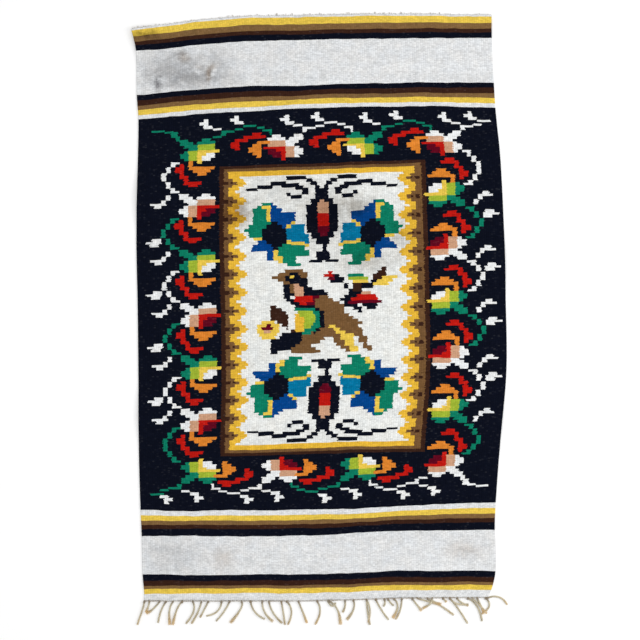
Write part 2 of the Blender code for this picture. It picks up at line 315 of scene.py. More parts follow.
# The bird, its branch and its flower: shapes of straight sides, drawn over each other in this order. Their
# corners count steps across and up from BIRD_WARP and BIRD_ROW, by the foot of the near leg. A step is
# STEP_WARPS wide and STEP_ROWS high.
STEP_ROWS = 1.5
BIRD_WARP = 58.4
BIRD_ROW = 123.5
Shape = namedtuple("Shape", "part yarn corners")
BIRD = (
    Shape("body and tail", "B", (
        (5, 0), (12, 0), (12, 1), (11, 1), (11, 2), (10, 2), (10, 3), (12, 3), (12, 4), (13, 4), (13, 5),
        (15, 5), (15, 3.5), (18.5, 0), (19, 0), (19, 2), (18, 2), (18, 5), (21, 5), (21, 3), (22, 3),
        (22, 1), (23, 1), (23, 0), (24, 0), (24, 2), (23, 2), (23, 5), (22, 5), (22, 8), (21, 8), (21, 9),
        (22, 9), (22, 10), (21.5, 10), (18, 13.5), (18, 16), (17, 16), (17, 17), (15, 17), (15, 18),
        (14, 18), (14, 19), (12, 19), (11, 18), (11, 14), (12, 14), (12, 7), (8, 7), (5, 6))),
    Shape("thigh", "Y", (
        (14, 9), (16, 9), (16, 8.5), (18, 6.5), (18, 6), (20, 6), (20, 2), (21, 2), (21, 0), (19, 0),
        (19, 2), (18, 2), (18, 4), (17, 4), (17, 5.5), (14, 8.5))),
    Shape("near leg", "K", (
        (0.5, 0), (2, 0), (2, 1), (4.5, 1), (8, 4.5), (8, 7), (3.2, 7), (3.2, 6), (2.2, 6), (2.2, 5),
        (0.5, 5))),
    Shape("small feather", "D", ((5, 7), (5, 8), (6, 8), (6, 7))),
    Shape("shoulder line", "K", (
        (6, 16), (11.2, 16), (11.2, 15), (12.2, 15), (12.2, 14), (13.2, 14), (13.2, 8), (12.2, 8),
        (12.2, 7), (11.2, 7), (11.2, 6), (10.2, 6), (10.2, 14), (6, 14))),
    Shape("outer feathers", "G", (
        (6, 15), (11, 15), (11, 14), (12.2, 14), (12.2, 8), (11, 8), (11, 7), (10, 7), (10, 6), (8, 6),
        (8, 14), (6, 14))),
    Shape("middle feathers", "L", (
        (6.8, 14), (10, 14), (11.2, 12), (11.2, 10), (10, 9), (9.5, 8), (8, 8), (8, 12), (6.8, 12))),
    Shape("inner feathers", "A", ((6.1, 13), (7, 13), (7, 12), (8.1, 12), (8.1, 7), (6.1, 7))),
    Shape("leaf by the wing", "D", (
        (0.5, 16), (2, 16), (2, 15.5), (4.7, 12.8), (4.8, 8), (4.5, 8), (1.5, 11), (0.5, 11))),
    Shape("flower", "Y", (
        (-2, 11), (1.4, 11), (1.4, 10), (2.4, 10), (2.4, 7), (1.9, 7), (1.9, 6), (1.4, 6), (1.4, 5),
        (-2, 5), (-2, 6), (-2.6, 6), (-2.6, 7), (-3, 7), (-3, 10), (-2, 10))),
    Shape("flower's heart", "P", ((-1.3, 7), (-1.3, 8), (0.2, 8), (0.2, 7))),
    Shape("bar of the heart", "M", ((-1.8, 8), (-1.8, 9), (0.9, 9), (0.9, 8))),
    Shape("tip of the heart", "M", ((-1, 9), (-1, 10), (0.1, 10), (0.1, 9))),
    Shape("neck", "K", (
        (3.4, 23), (3.4, 18), (3.8, 18), (3.8, 17), (5, 17), (5, 16), (7, 16), (7, 17), (6, 17), (6, 18),
        (5, 18), (5, 19), (6, 19), (6, 20), (5, 20), (5, 23))),
    Shape("cap", "B", (
        (3.9, 28), (8.2, 28), (8.2, 27), (9.2, 27), (9.2, 25), (5, 25), (5, 23), (3.7, 23), (3.7, 24),
        (2.7, 24), (2.7, 27), (3.9, 27))),
    Shape("beak", "B", ((0.7, 25), (0.7, 26), (3, 26), (3, 25))),
    Shape("face and nape", "K", (
        (5, 27), (7, 27), (7, 26), (8, 26), (8, 25), (9.1, 25), (9.1, 22), (10.3, 22), (10.3, 21),
        (13.1, 21), (13.1, 20), (14.1, 20), (14.1, 19), (8, 19), (8, 22), (7, 22), (7, 23), (5, 23),
        (5, 24), (4, 24), (4, 26), (5, 26))),
    Shape("eye", "Y", ((4.9, 25), (4.9, 26), (6.1, 26), (6.1, 25))),
    Shape("throat", "B", ((5, 20), (5, 23), (6, 23), (6, 20))),
    Shape("breast", "P", ((6, 23), (7, 23), (7, 22), (8.1, 22), (8.1, 19), (6, 19))),
    Shape("dark collar", "M", ((8.6, 19), (12.2, 19), (12.2, 18), (11, 18), (11, 16), (8.6, 16))),
    Shape("red collar", "R", (
        (6, 19), (10.5, 19), (10.5, 17), (8.6, 17), (8.6, 16), (7, 16), (7, 17), (6, 17))),
    Shape("twig", "K", (
        (14.6, 23), (14.6, 24), (16, 24), (16, 26), (17, 26), (17, 25), (18, 25), (18, 23), (18.9, 23),
        (18.9, 21), (20, 21), (20, 20), (22, 20), (22, 19), (18.8, 19), (18.8, 21), (17.8, 21),
        (17.8, 23))),
    Shape("red bud", "R", ((13.2, 25), (13.2, 26.4), (14, 26.4), (14, 27.4), (15.2, 27.4), (15.2, 25))),
    Shape("foot of the bud", "M", ((14, 24), (14, 25), (15.2, 25), (15.2, 26), (16, 26), (16, 24))),
    Shape("branch", "K", (
        (17, 18), (17, 17), (18, 17), (18, 15), (20, 15), (20, 14), (21, 14), (21, 13), (22.2, 13),
        (22.2, 15), (23, 15), (23, 14), (25.1, 14), (25.1, 15), (26.1, 15), (26.1, 17), (21, 17),
        (21, 19), (18, 19), (18, 18))),
    Shape("gap in the branch", "C", ((21, 15), (21, 16), (22.2, 16), (22.2, 15))),
    Shape("foot of the pod", "M", ((19, 16), (19, 17), (27, 17), (27, 16))),
    Shape("red pod", "R", ((19.3, 17), (19.3, 18), (21, 18), (21, 19), (24.8, 19), (26, 18), (26, 17))),
    Shape("back of the pod", "P", ((22.2, 19), (22.2, 20), (24, 20), (24, 19))),
    Shape("stalk", "D", ((20, 20), (20, 23), (22, 23), (22, 20))),
    Shape("bend of the stalk", "K", (
        (22, 21), (22, 23), (24, 23), (24, 24), (26, 24), (26, 23), (25, 23), (25, 21))),
    Shape("green leaf", "G", ((19.2, 25), (19.2, 26), (22.8, 26), (22.8, 25))),
    Shape("lime leaf", "L", ((19, 24), (19, 25), (23.7, 25), (23.7, 24))),
    Shape("yellow leaf", "Y", ((19.9, 23), (19.9, 24), (23.7, 24), (23.7, 23))),
    Shape("long yellow leaf", "Y", (
        (25, 22), (25, 23), (26, 23), (26, 24), (27, 24), (27, 25), (30.6, 25), (30.6, 24), (29.5, 24),
        (29.5, 23), (28.5, 23), (28.5, 22))),
    Shape("tip of the twig", "D", (
        (25, 24), (25, 26), (26, 26), (26, 27), (27, 27), (27, 28), (28, 28), (28, 25), (27, 25),
        (27, 24))),
)

# Old stains: the colour of the soil, where each lies, how far it reaches, and how much of the soil's colour
# it takes
Stain = namedtuple("Stain", "place soil across along half_across half_along strength")
STAINS = (
    Stain("broad grey soil in the upper band", "soot", -356, 1304, 120, 64, 0.46),
    Stain("long mark at the upper band's lower left", "soot", -398, 1268, 13, 32, 0.85),
    Stain("grey mark under the stripe", "soot", -340, 1338, 34, 16, 0.4),
    Stain("tan mark below it", "stain", -334, 1330, 20, 18, 0.45),
    Stain("tan mark right of it", "stain", -300, 1306, 18, 10, 0.3),
    Stain("tall mark right of the broad grey soil", "stain", -274, 1288, 10, 30, 0.6),
    Stain("small mark beside it", "stain", -265, 1306, 12, 12, 0.35),
    Stain("grey smudge on the yellow stripe", "soot", -432, 1386, 52, 15, 0.8),
    Stain("soil along the upper band's inner side", "soot", -322, 1278, 150, 36, 0.4),
    Stain("soil right of the broad grey soil", "soot", -250, 1318, 60, 70, 0.26),
    Stain("bruise on the left teeth", "stain", -212, 948, 46, 54, 0.6),
    Stain("bruise beside the left teeth", "dust", -186, 954, 42, 50, 0.45),
    # The next two rows are broad grey patches that darken the panel's upper part in the dust colour.
    Stain("bruise beside the upper right rosette", "dust", 90, 966, 64, 32, 0.55),
    Stain("soil over the upper pod", "dust", 20, 945, 135, 115, 0.42),
    Stain("soil above the upper left rosette", "dust", -115, 1010, 130, 70, 0.2),
    Stain("soil over the branch", "dust", 112, 832, 100, 52, 0.45),
    Stain("soil on the right teeth", "dust", 196, 896, 46, 85, 0.35),
    Stain("grey soil in the lower band", "soot", -362, 108, 110, 70, 0.22),
    Stain("faint mark in the lower band", "stain", -238, 100, 40, 46, 0.25),
    Stain("mark at the lower right", "stain", 352, 122, 62, 32, 0.25),
)

# The fringe's strands. Each lies in one bend on the ground. root is its place across. The next columns are
# the places of its middle and its tip, across from the root and out from where the bend starts. tip is how
# much thicker its end is, gold how golden it gets, and over how high it passes over other strands.
Strand = namedtuple("Strand", "root mid_across mid_out tip_across tip_out tip gold over", defaults=(0.0,))
STRANDS = (
    Strand(-431, -6, 22, -18, 57, 1.0, 0.3),
    Strand(-394, -18, 20, -33, 28, 1.6, 0.8),
    Strand(-379, -12, 24, -19, 52, 1.0, 0.1),
    Strand(-361, -9, 22, -8, 57, 1.4, 0.7),
    Strand(-339, -13, 20, -23, 57, 1.3, 0.6),
    Strand(-313, 2, 24, -17, 54, 1.0, 0.1),
    Strand(-292, -8, 25, -24, 54, 1.1, 0.2),
    Strand(-275, -11, 22, -20, 39, 1.0, 0.2),
    Strand(-242, -11, 24, -38, 35, 0.9, 0.1),
    Strand(-223, -13, 24, -33, 48, 0.9, 0.0),
    Strand(-193, -3, 19, -28, 52, 1.5, 0.4),
    Strand(-171, 11, 26, 35, 43, 1.0, 0.0),
    Strand(-143, 7, 27, 27, 49, 1.4, 0.3),
    Strand(-126, 10, 27, 32, 53, 1.1, 0.1),
    Strand(-96, 5, 27, 9, 57, 1.0, 0.2),
    Strand(-82, 11, 25, 2, 57, 1.0, 0.3),
    Strand(-54, 10, 24, 21, 53, 1.3, 0.7),
    Strand(-8, 7, 26, -5, 57, 1.1, 0.4),
    Strand(22, 20, 22, 27, 58, 1.6, 0.6),
    Strand(60, 0, 16, -6, 29, 1.2, 0.2),
    Strand(81, 0, 23, -17, 48, 1.5, 0.3),
    Strand(113, 2, 22, 8, 62, 1.2, 0.1),
    Strand(136, 12, 23, 31, 50, 1.0, 0.0),
    Strand(157, 1, 10, -3, 18, 1.0, 0.0),
    Strand(166, 7, 10, 14, 16, 1.0, 0.0),
    Strand(181, 8, 20, -4, 47, 1.5, 0.7),
    Strand(199, -3, 26, -15, 51, 1.0, 0.3),
    Strand(225, 13, 17, 23, 30, 1.5, 0.6),
    Strand(262, 27, 14, 65, 41, 1.1, 0.2),
    Strand(300, 5, 5, 9, 9, 1.4, 0.7),
    Strand(317, 20, 25, 44, 62, 1.0, 0.1),
    Strand(335, 10, 10, 28, 19, 1.0, 0.3),
    Strand(362, 23, 22, 34, 57, 1.1, 0.0),
    Strand(384, 8, 16, 16, 34, 1.3, 0.7),
    Strand(405, 9, 19, -9, 39, 1.0, 0.5),
    Strand(409, 29, -2, 49, 17, 1.0, 0.4),
)
# Short strands and loops that lie over their neighbours
CROSSING_STRANDS = (
    Strand(-419, -3, 12, -9, 27, 1.4, 0.8, 2.0),
    Strand(18, 11, 12, 19, 4, 1.0, 0.0, 2.0),
    Strand(113, 8, 24, 4, 56, 1.0, 0.5, 4.0),
    Strand(238, 24, 6, 58, 15, 1.7, 0.7, 3.0),
    Strand(274, -6, 13, -24, 25, 1.3, 0.6, 5.0),
    Strand(317, 18, 13, 46, 15, 1.0, 0.1, 4.0),
    Strand(372, 14, 13, 36, 38, 1.0, 0.5, 5.0),
)
# A strand starts ROOT_GAP out from the cloth's edge, and its bend starts CUT_ROOT out from it.
ROOT_GAP = 0.5
CUT_ROOT = 3.3
STRAND_POINTS = 17
# A strand that passes over another one is down again at 1 / HUMP of its length. Past FRAY_START of its length
# it turns golden, and frays the more the thicker its tip is over an even one. Its soil fades from the root.
HUMP = 1.15
FRAY_START = 0.45
FRAY_RISE = 1.5
FRAY = 2.2
EVEN_TIP = 0.9
SOIL_FADE = 3.5
# The heading cord along the lower edge: its plies, the points of its line, the share of the width by which it
# falls short of a selvedge, and how soiled it is
HEADING_RADIUS = 0.95
HEADING_POINTS = 240
HEADING_INSET = 0.001
HEADING_SOIL = 0.42
# The knots at the roots: how far in from CUT_ROOT and how high above the cloth's under side their middles lie
KNOT_RADIUS = 1.9
KNOT_YARN_RADIUS = 1.0
KNOT_INSET = 1.0
KNOT_HEIGHT = 3.5
# The cut warps of the upper end. A stub starts STUB_HEIGHT above the cloth's under side and STUB_INSET inside
# its edge. A share of the stubs is short, and the two pairs are the least and the most that a stub reaches
# out. It leans to a side in a bend, its tip drops part of the way down to STUB_TIP_HEIGHT, and it frays.
STUB_HEIGHT = 1.6
STUB_INSET = 0.8
SHORT_SHARE = 0.85
SHORT_STUB = (0.8, 3.2)
LONG_STUB = (3.0, 6.0)
STUB_LEAN = 0.45
STUB_BEND = 1.5
STUB_TIP_HEIGHT = 1.0
STUB_DROP = 0.5
STUB_FRAY = 1.4
STUB_SOIL = 0.3
STUB_POINTS = 4
# The stray fibres stand this much further out than the plies, and turn this much more slowly.
FIBRE_SPREAD = 1.55
FIBRE_TURN = 2.3

# The yarn pieces that hang on a length of the cloth
ON_LENGTHS = {
    "cloth_lower_end": ("fringe_strands", "fringe_fibres", "fringe_knots", "fringe_heading"),
    "cloth_upper_end": ("cut_warp_ends",),
}

# Where the parts of a length lie in its picture map: the strip's low and high side
Strip = namedtuple("Strip", "low high")
TOP_STRIP = Strip(0.27, 0.99)
UNDER_STRIP = Strip(0.08, 0.25)
WALL_STRIPS = (Strip(0.065, 0.072), Strip(0.05, 0.057), Strip(0.032, 0.042), Strip(0.012, 0.022))
PICTURE_MARGIN = 0.01

# The floor's half width in metres, and how far under the cloth it lies
FLOOR_HALF = 6.0
FLOOR_DROP = 0.3
# The photograph's frame: how wide it is at the height of the cloth's face, where its middle lies and how
# high that face is. SENSOR is the width of the camera's sensor.
FRAME_WIDTH = 1568.0
PHOTO_MIDDLE = (0.84, -0.9)
FACE_HEIGHT = 4.0
SENSOR = 36.0
# Square lights that look at the cloth's middle: the setting of their power, their side and place in metres
Light = namedtuple("Light", "name power side place")
LIGHTS = (
    Light("light_above", "top", 4.0, (0.0, 0.0, 3.6)),
    Light("light_right", "key", 1.6, (2.6, 0.1, 1.6)),
)
# The letters of the yarns in the tables and charts, and the settings that hold their dyes
YARNS = {
    "K": "black", "D": "dark_brown", "B": "brown", "E": "faded_brown", "Y": "yellow", "A": "amber",
    "W": "white", "C": "chalk", "S": "snow", "G": "green", "L": "lime", "O": "orange", "R": "red",
    "M": "maroon", "P": "peach", "U": "blue", "T": "teal",
}


def to_linear(part):
    """Turn one part of a screen colour, from 0 to 255, into the linear light that a shader works in."""
    part = part / 255
    return part / 12.92 if part <= 0.04045 else ((part + 0.055) / 1.055) ** 2.4


def dye(name, description, *screen):
    """A colour property. Its default is given as the colour looks on a screen, from 0 to 255."""
    return bpy.props.FloatVectorProperty(
        name=name, description=description, subtype="COLOR", size=3, min=0.0, max=1.0,
        default=[to_linear(part) for part in screen])


def length(name, description, size):
    """A length property whose default is given in millimetres."""
    return bpy.props.FloatProperty(name=name, description=description, default=size * MM, min=0.0,
                                   unit="LENGTH", precision=4)


def share(name, description, default):
    """A property from nothing to the whole."""
    return bpy.props.FloatProperty(name=name, description=description, default=default, min=0.0, max=1.0,
                                   subtype="FACTOR")


class ClothSettings(bpy.types.PropertyGroup):
    """Sizes and dyes of the woven cloth"""

    thickness: length("Thickness", "From the under side to the crest of a rib", 3.0)
    rib_height: length("Rib Height", "From the groove between two warps up to the crest", 0.62)
    uneven: share("Uneven Ribs", "How much the ribs differ in height", 0.22)
    wander: length("Wander", "How far the throws of weft wander from a smooth line", 7.0)
    bead_depth: length("Bead Depth", "Depth of the dents between two throws of weft", 0.35)
    # Painted shade: how much darker the grooves between the warps are painted.
    groove_shade: share("Groove Shade", "How much darker the grooves between the warps are", 0.05)
    streaks: share("Streaks", "How much the tone of the weft changes along a throw", 0.2)
    grain: share("Grain", "How much the weft's tone changes from one warp to the next", 0.24)
    # Pale specks on a few beads of the dark yarns: partly fluff, partly painted sheen.
    lint: share("Lint", "How pale the specks on the dark yarns are", 0.015)
    black: dye("Black", "Dark field and outlines", 9, 13, 26)
    dark_brown: dye("Dark Brown", "Outer frame of the panel and dark stripe", 54, 31, 22)
    brown: dye("Brown", "Brown frame and the bird's body", 112, 81, 49)
    faded_brown: dye("Faded Brown", "Brown stripes of the two ends", 122, 93, 58)
    yellow: dye("Yellow", "Yellow stripe and the blooms' yellow", 224, 191, 76)
    amber: dye("Amber", "Inner frame, teeth and the wing", 222, 176, 56)
    white: dye("White", "Bands of the two ends", 218, 219, 220)
    chalk: dye("Chalk", "Ground of the panel", 225, 226, 223)
    snow: dye("Snow", "White blooms and sprigs", 227, 228, 228)
    green: dye("Green", "Leaves and green blooms", 10, 119, 93)
    lime: dye("Lime", "Second yarn of the green blooms", 154, 175, 51)
    orange: dye("Orange", "Orange petals", 212, 126, 44)
    red: dye("Red", "Red petals and the middle of the pods", 182, 23, 15)
    maroon: dye("Maroon", "Darkest yarn of the white blooms", 92, 5, 27)
    peach: dye("Peach", "Second yarn of the white blooms", 196, 151, 121)
    blue: dye("Blue", "Blue petals of the rosettes", 2, 63, 130)
    teal: dye("Teal", "Side petals of the rosettes", 2, 112, 154)
    stain: dye("Stain", "Old tan stains on the pale yarn", 171, 140, 104)
    soot: dye("Soot", "Grey soil on the pale yarn", 138, 137, 140)
    dust: dye("Dust", "Warm grey soil over the panel", 147, 138, 127)


class FringeSettings(bpy.types.PropertyGroup):
    """Sizes and colours of the fringe and the cut warp ends"""

    ply_radius: length("Ply Radius", "Radius of one ply of a strand", 0.9)
    plies: bpy.props.IntProperty(name="Plies", description="Plies in one strand", default=4, min=2, max=6)
    turn: length("Turn", "Length in which the plies turn once round each other", 16.0)
    fibre_radius: length("Fibre Radius", "Radius of a stray fibre", 0.16)
    fibres: bpy.props.IntProperty(name="Fibres", description="Stray fibres of one strand", default=7,
                                  min=0, max=20)
    grey: dye("Grey", "Undyed warp yarn", 208, 198, 172)
    olive: dye("Olive", "Darker ply of a strand", 146, 139, 118)
    soil: dye("Soil", "Soiled yarn near the knots", 134, 122, 106)
    gold: dye("Gold", "Yellowed ends of the strands", 224, 186, 124)
    knot: dye("Knot", "Dark line of knots along the cloth", 120, 106, 98)
    cut: dye("Cut Warps", "Warp yarn at the plain upper end", 228, 225, 220)


class StageSettings(bpy.types.PropertyGroup):
    """Floor, light and camera"""

    floor: dye("Floor", "Colour of the floor", 253, 253, 253)
    key: bpy.props.FloatProperty(name="Key Light", description="Power of the light from the side",
                                 default=30.0, min=0.0, unit="POWER")
    top: bpy.props.FloatProperty(name="Top Light", description="Power of the broad light from above",
                                 default=46.3, min=0.0, unit="POWER")
    around: bpy.props.FloatProperty(name="Light Around", description="Strength of the light from all sides",
                                    default=0.714, min=0.0)
    lens: bpy.props.FloatProperty(name="Lens", description="Focal length of the camera", default=85.0,
                                  min=20.0, unit="CAMERA")


class Value:
    """One value that runs through a node tree. A sum of numbers becomes a Math node, and a sum with a
    colour or a vector becomes a Vector Math node."""

    def __init__(self, net, socket):
        self.net = net
        self.socket = socket

    def other(self, name):
        """Another output of the same node."""
        return Value(self.net, self.socket.node.outputs[name])

    def wide(self):
        """Whether it is a colour or a vector."""
        return self.socket.type in ("RGBA", "VECTOR")

    def work(self, operation, first, second):
        """A Math or Vector Math node of two values."""
        pair = (first, second)
        wide = any(v.wide() if isinstance(v, Value) else isinstance(v, tuple) for v in pair)
        kind = "ShaderNodeVectorMath" if wide else "ShaderNodeMath"
        return self.net.add(kind, {"operation": operation}, {0: first, 1: second})

    def __add__(self, other):
        return self.work("ADD", self, other)

    __radd__ = __add__

    def __sub__(self, other):
        return self.work("SUBTRACT", self, other)

    def __rsub__(self, other):
        return self.work("SUBTRACT", other, self)

    def __mul__(self, other):
        return self.work("MULTIPLY", self, other)

    def __truediv__(self, other):
        return self.work("DIVIDE", self, other)

    def __pow__(self, other):
        return self.net.add("ShaderNodeMath", {"operation": "POWER"}, {0: self, 1: other})

    def __mod__(self, other):
        return self.net.add("ShaderNodeMath", {"operation": "FLOORED_MODULO"}, {0: self, 1: other})

    def plain(self, operation):
        """A Math node of one value, such as FRACT, FLOOR, ABSOLUTE, SINE or COSINE."""
        return self.net.add("ShaderNodeMath", {"operation": operation}, {0: self})

    def kept(self, low, high):
        """The value, kept between two bounds."""
        return self.net.add("ShaderNodeClamp", {}, {"Value": self, "Min": low, "Max": high})


class Net:
    """A node tree that is written from Python."""

    def __init__(self, tree):
        self.tree = tree

    def add(self, kind, settings=None, sockets=None, out=0):
        """Add a node: its settings first, then its sockets' values or links. Gives one of its outputs."""
        node = self.tree.nodes.new(kind)
        for name, value in (settings or {}).items():
            if name == "stops":
                self.set_stops(node.color_ramp, value)
            else:
                setattr(node, name, value)
        for name, value in (sockets or {}).items():
            self.set_socket(node.inputs[name], value)
        return Value(self, node.outputs[out]) if node.outputs else None

    def set_socket(self, socket, value):
        """Link a socket, or set it. A number fills a vector or a colour, and a colour gets its alpha."""
        if isinstance(value, Value):
            self.tree.links.new(value.socket, socket)
            return
        present = socket.default_value
        if hasattr(present, "__len__") and not isinstance(present, str):
            value = tuple(value) if hasattr(value, "__len__") else (value,) * 3
            value += (1.0,) * (len(present) - len(value))
        socket.default_value = value

    def set_stops(self, ramp, stops):
        """Give a colour ramp its stops, pairs of a place and a grey or a colour."""
        while len(ramp.elements) > 1:
            ramp.elements.remove(ramp.elements[-1])
        for number, (place, colour) in enumerate(stops):
            colour = colour if hasattr(colour, "__len__") else (colour,) * 3
            element = ramp.elements[0] if number == 0 else ramp.elements.new(place)
            element.position = place
            element.color = (*colour[:3], 1.0)

    def join(self, x, y, z=0.0):
        """A vector of three numbers."""
        return self.add("ShaderNodeCombineXYZ", {}, {"X": x, "Y": y, "Z": z})

    def blend(self, kind, share_of_second, first, second):
        """Blend two colours."""
        settings = {"data_type": "RGBA", "blend_type": kind, "clamp_result": True}
        return self.add("ShaderNodeMix", settings, {0: share_of_second, 6: first, 7: second}, out=2)

    def noise(self, place, scale, detail=2.0, roughness=0.5):
        """Soft noise round a half."""
        sockets = {"Vector": place, "Scale": scale, "Detail": detail, "Roughness": roughness}
        return self.add("ShaderNodeTexNoise", {}, sockets)

    def attribute(self, name, out="Fac"):
        """What a mesh keeps under a name, for a material."""
        return self.add("ShaderNodeAttribute", {"attribute_name": name}, out=out)

    def kept_number(self, name):
        """The number that each point keeps under a name, for a geometry tree."""
        return self.add("GeometryNodeInputNamedAttribute", {"data_type": "FLOAT"}, {"Name": name})

    def keep_number(self, geometry, name, value):
        """Keep a number on each point under a name."""
        return self.add("GeometryNodeStoreNamedAttribute", {"data_type": "FLOAT", "domain": "POINT"},
                        {"Geometry": geometry, "Name": name, "Value": value})

    def tube(self, line, around, sides, radius, scale):
        """A round, smooth and closed tube along a line. around is the place along a spline, and the tube's
        points keep it as the place round the ring."""
        ring = self.add("GeometryNodeCurvePrimitiveCircle", {"mode": "RADIUS"},
                        {"Resolution": sides, "Radius": radius})
        ring = self.keep_number(ring, "round", around)
        tube = self.add("GeometryNodeCurveToMesh", {},
                        {"Curve": line, "Profile Curve": ring, "Scale": scale, "Fill Caps": True})
        return self.add("GeometryNodeSetShadeSmooth", {}, {"Geometry": tube})


def new_material(name):
    """A material with an empty node tree, and the net that fills it."""
    material = bpy.data.materials.new(name)
    material.use_nodes = True
    material.node_tree.nodes.clear()
    return material, Net(material.node_tree)


def finish_material(net, colour, roughness, normal=None, sheen=0.0, specular=0.2):
    """Add the shader and the output."""
    sockets = {"Base Color": colour, "Roughness": roughness, "Specular IOR Level": specular,
               "Sheen Weight": sheen, "Sheen Roughness": 0.6}
    if normal is not None:
        sockets["Normal"] = normal
    shader = net.add("ShaderNodeBsdfPrincipled", {}, sockets)
    net.add("ShaderNodeOutputMaterial", {}, {"Surface": shader})


def nearest(place):
    """The whole number nearest to a place. Halves go up, so two bars that meet share their border."""
    return math.floor(round(place + 0.5, 6))


class Loom:
    """The cloth's cells, one for each warp of each pick, which hold the letter of their yarn."""

    def __init__(self):
        self.cells = np.full((PICKS, WARPS), "K")

    def bar(self, yarn, left, right, low, high):
        """Weave one yarn over some warps, from a low row to a high one."""
        picks = slice(nearest(low * PICKS_PER_ROW), nearest(high * PICKS_PER_ROW))
        self.cells[picks, nearest(left):nearest(right)] = yarn

    def turned_bar(self, yarn, left, right, low, high):
        """Weave the same bar turned round the border's middle."""
        self.bar(yarn, WARP_SUM - right, WARP_SUM - left, ROW_SUM - high, ROW_SUM - low)

    def chart(self, lines, yarns, left, low, other_way=False, turned=False):
        """Weave a chart whose lower left corner is at a warp and a row. other_way swaps its sides."""
        put = self.turned_bar if turned else self.bar
        for number, line in enumerate(reversed(lines)):
            letters = reversed(line) if other_way else line
            for column, letter in enumerate(letters):
                if letter != ".":
                    warp = left + 2 * column
                    row = low + CHART_LINE * number
                    put(yarns.get(letter, letter), warp, warp + 2, row, row + CHART_LINE)

    def blocks(self, yarn, blocks, warp=0, row=0, turned=False):
        """Weave a list of blocks, shifted by some warps and rows."""
        put = self.turned_bar if turned else self.bar
        for block in blocks:
            put(yarn, block.left + warp, block.right + warp, block.low + row, block.high + row)

    def shape(self, yarn, corners, left, foot):
        """Weave a shape of straight sides, whose corners count steps from a warp and a row. A warp of a step
        is in the shape where its middle is."""
        lines = np.arange(math.floor(min(y for _, y in corners)), math.ceil(max(y for _, y in corners)))
        x, y = np.meshgrid((np.arange(WARPS) + 0.5 - left) / STEP_WARPS, lines + 0.5)
        inside = np.zeros(x.shape, dtype=bool)
        for (x0, y0), (x1, y1) in zip(corners, corners[1:] + corners[:1]):
            if y0 == y1:
                continue
            crosses = (y0 > y) != (y1 > y)
            inside ^= crosses & (x < x0 + (x1 - x0) * (y - y0) / (y1 - y0))
        for line, warp in zip(*np.nonzero(inside)):
            low = foot + STEP_ROWS * lines[line]
            self.bar(yarn, warp, warp + 1, low, low + STEP_ROWS)


def weave_stripes(loom):
    """The end stripes, the white bands and the dark field."""
    ends = [stripe.row for stripe in STRIPES[1:]] + [ROWS]
    for stripe, end in zip(STRIPES, ends):
        loom.bar(stripe.yarn, 0, WARPS, stripe.row, end)


def weave_panel(loom):
    """The pale panel in its three frames, with toothed sides."""
    for part in PANEL_FRAMES:
        loom.bar(part.yarn, part.left, part.right, part.low, part.high)
    outside = PANEL_FRAMES[1].left
    inside = PANEL_FRAMES[-1]
    for step in TOOTH_STEPS:
        for number in range(-(TEETH // 2), TEETH // 2 + 1):
            middle = MIDDLE_TOOTH + number * (LOWER_TOOTH_PITCH if number < 0 else UPPER_TOOTH_PITCH)
            low = max(middle - step.half, inside.low)
            high = min(middle + step.half, inside.high)
            near, far = outside + step.near, outside + step.far
            loom.bar(step.yarn, near, far, low, high)
            loom.bar(step.yarn, WARP_SUM - far, WARP_SUM - near, low, high)


def weave_half_border(loom, half):
    """Blooms, petals, tendrils and sprigs along one side and one end of the dark field."""
    turned = half.turned
    loom.blocks(BLOOM_YARNS[half.side_yarns[0]]["a"], CORNER_STEM, turned=turned)
    for row, warp, name in zip(half.side_rows[:-1], half.side_warps, half.side_yarns):
        yarns = BLOOM_YARNS[name]
        loom.chart(BLOOM, yarns, warp, row + BLOOM_FOOT, turned=turned)
        loom.chart(PETAL_BELOW, yarns, SIDE_WARP, row + PETAL_FOOT, turned=turned)
    for row, name in zip(half.side_rows[1:], half.side_yarns[1:]):
        yarn = BLOOM_YARNS[name]["a"]
        last = row == half.side_rows[-1]
        loom.blocks(yarn, LAST_TENDRIL if last else SIDE_TENDRIL, row=row, turned=turned)
        if not last:
            loom.blocks("S", SIDE_SPRIG_LOW, row=row, turned=turned)
            if row != half.side_rows[1]:
                loom.blocks("S", SIDE_SPRIG_HIGH, row=row, turned=turned)
    for start, name in zip(half.end_starts, half.end_yarns):
        yarns = BLOOM_YARNS[name]
        last = start == half.end_starts[-1]
        if start != half.end_starts[0]:
            beside = start - PETAL_BESIDE_LEFT
            loom.chart(BLOOM, yarns, start, END_ROW + BLOOM_FOOT, other_way=True, turned=turned)
            loom.chart(PETAL_BESIDE, yarns, beside, END_ROW + PETAL_BESIDE_FOOT, turned=turned)
        loom.blocks(yarns["a"], CORNER_TENDRIL if last else END_TENDRIL, start, END_ROW, turned)
        loom.blocks("S", END_SPRIG_LEFT, start, END_ROW, turned)
        loom.blocks("S", END_SPRIG_RIGHT, half.last_sprig if last else start, END_ROW, turned)


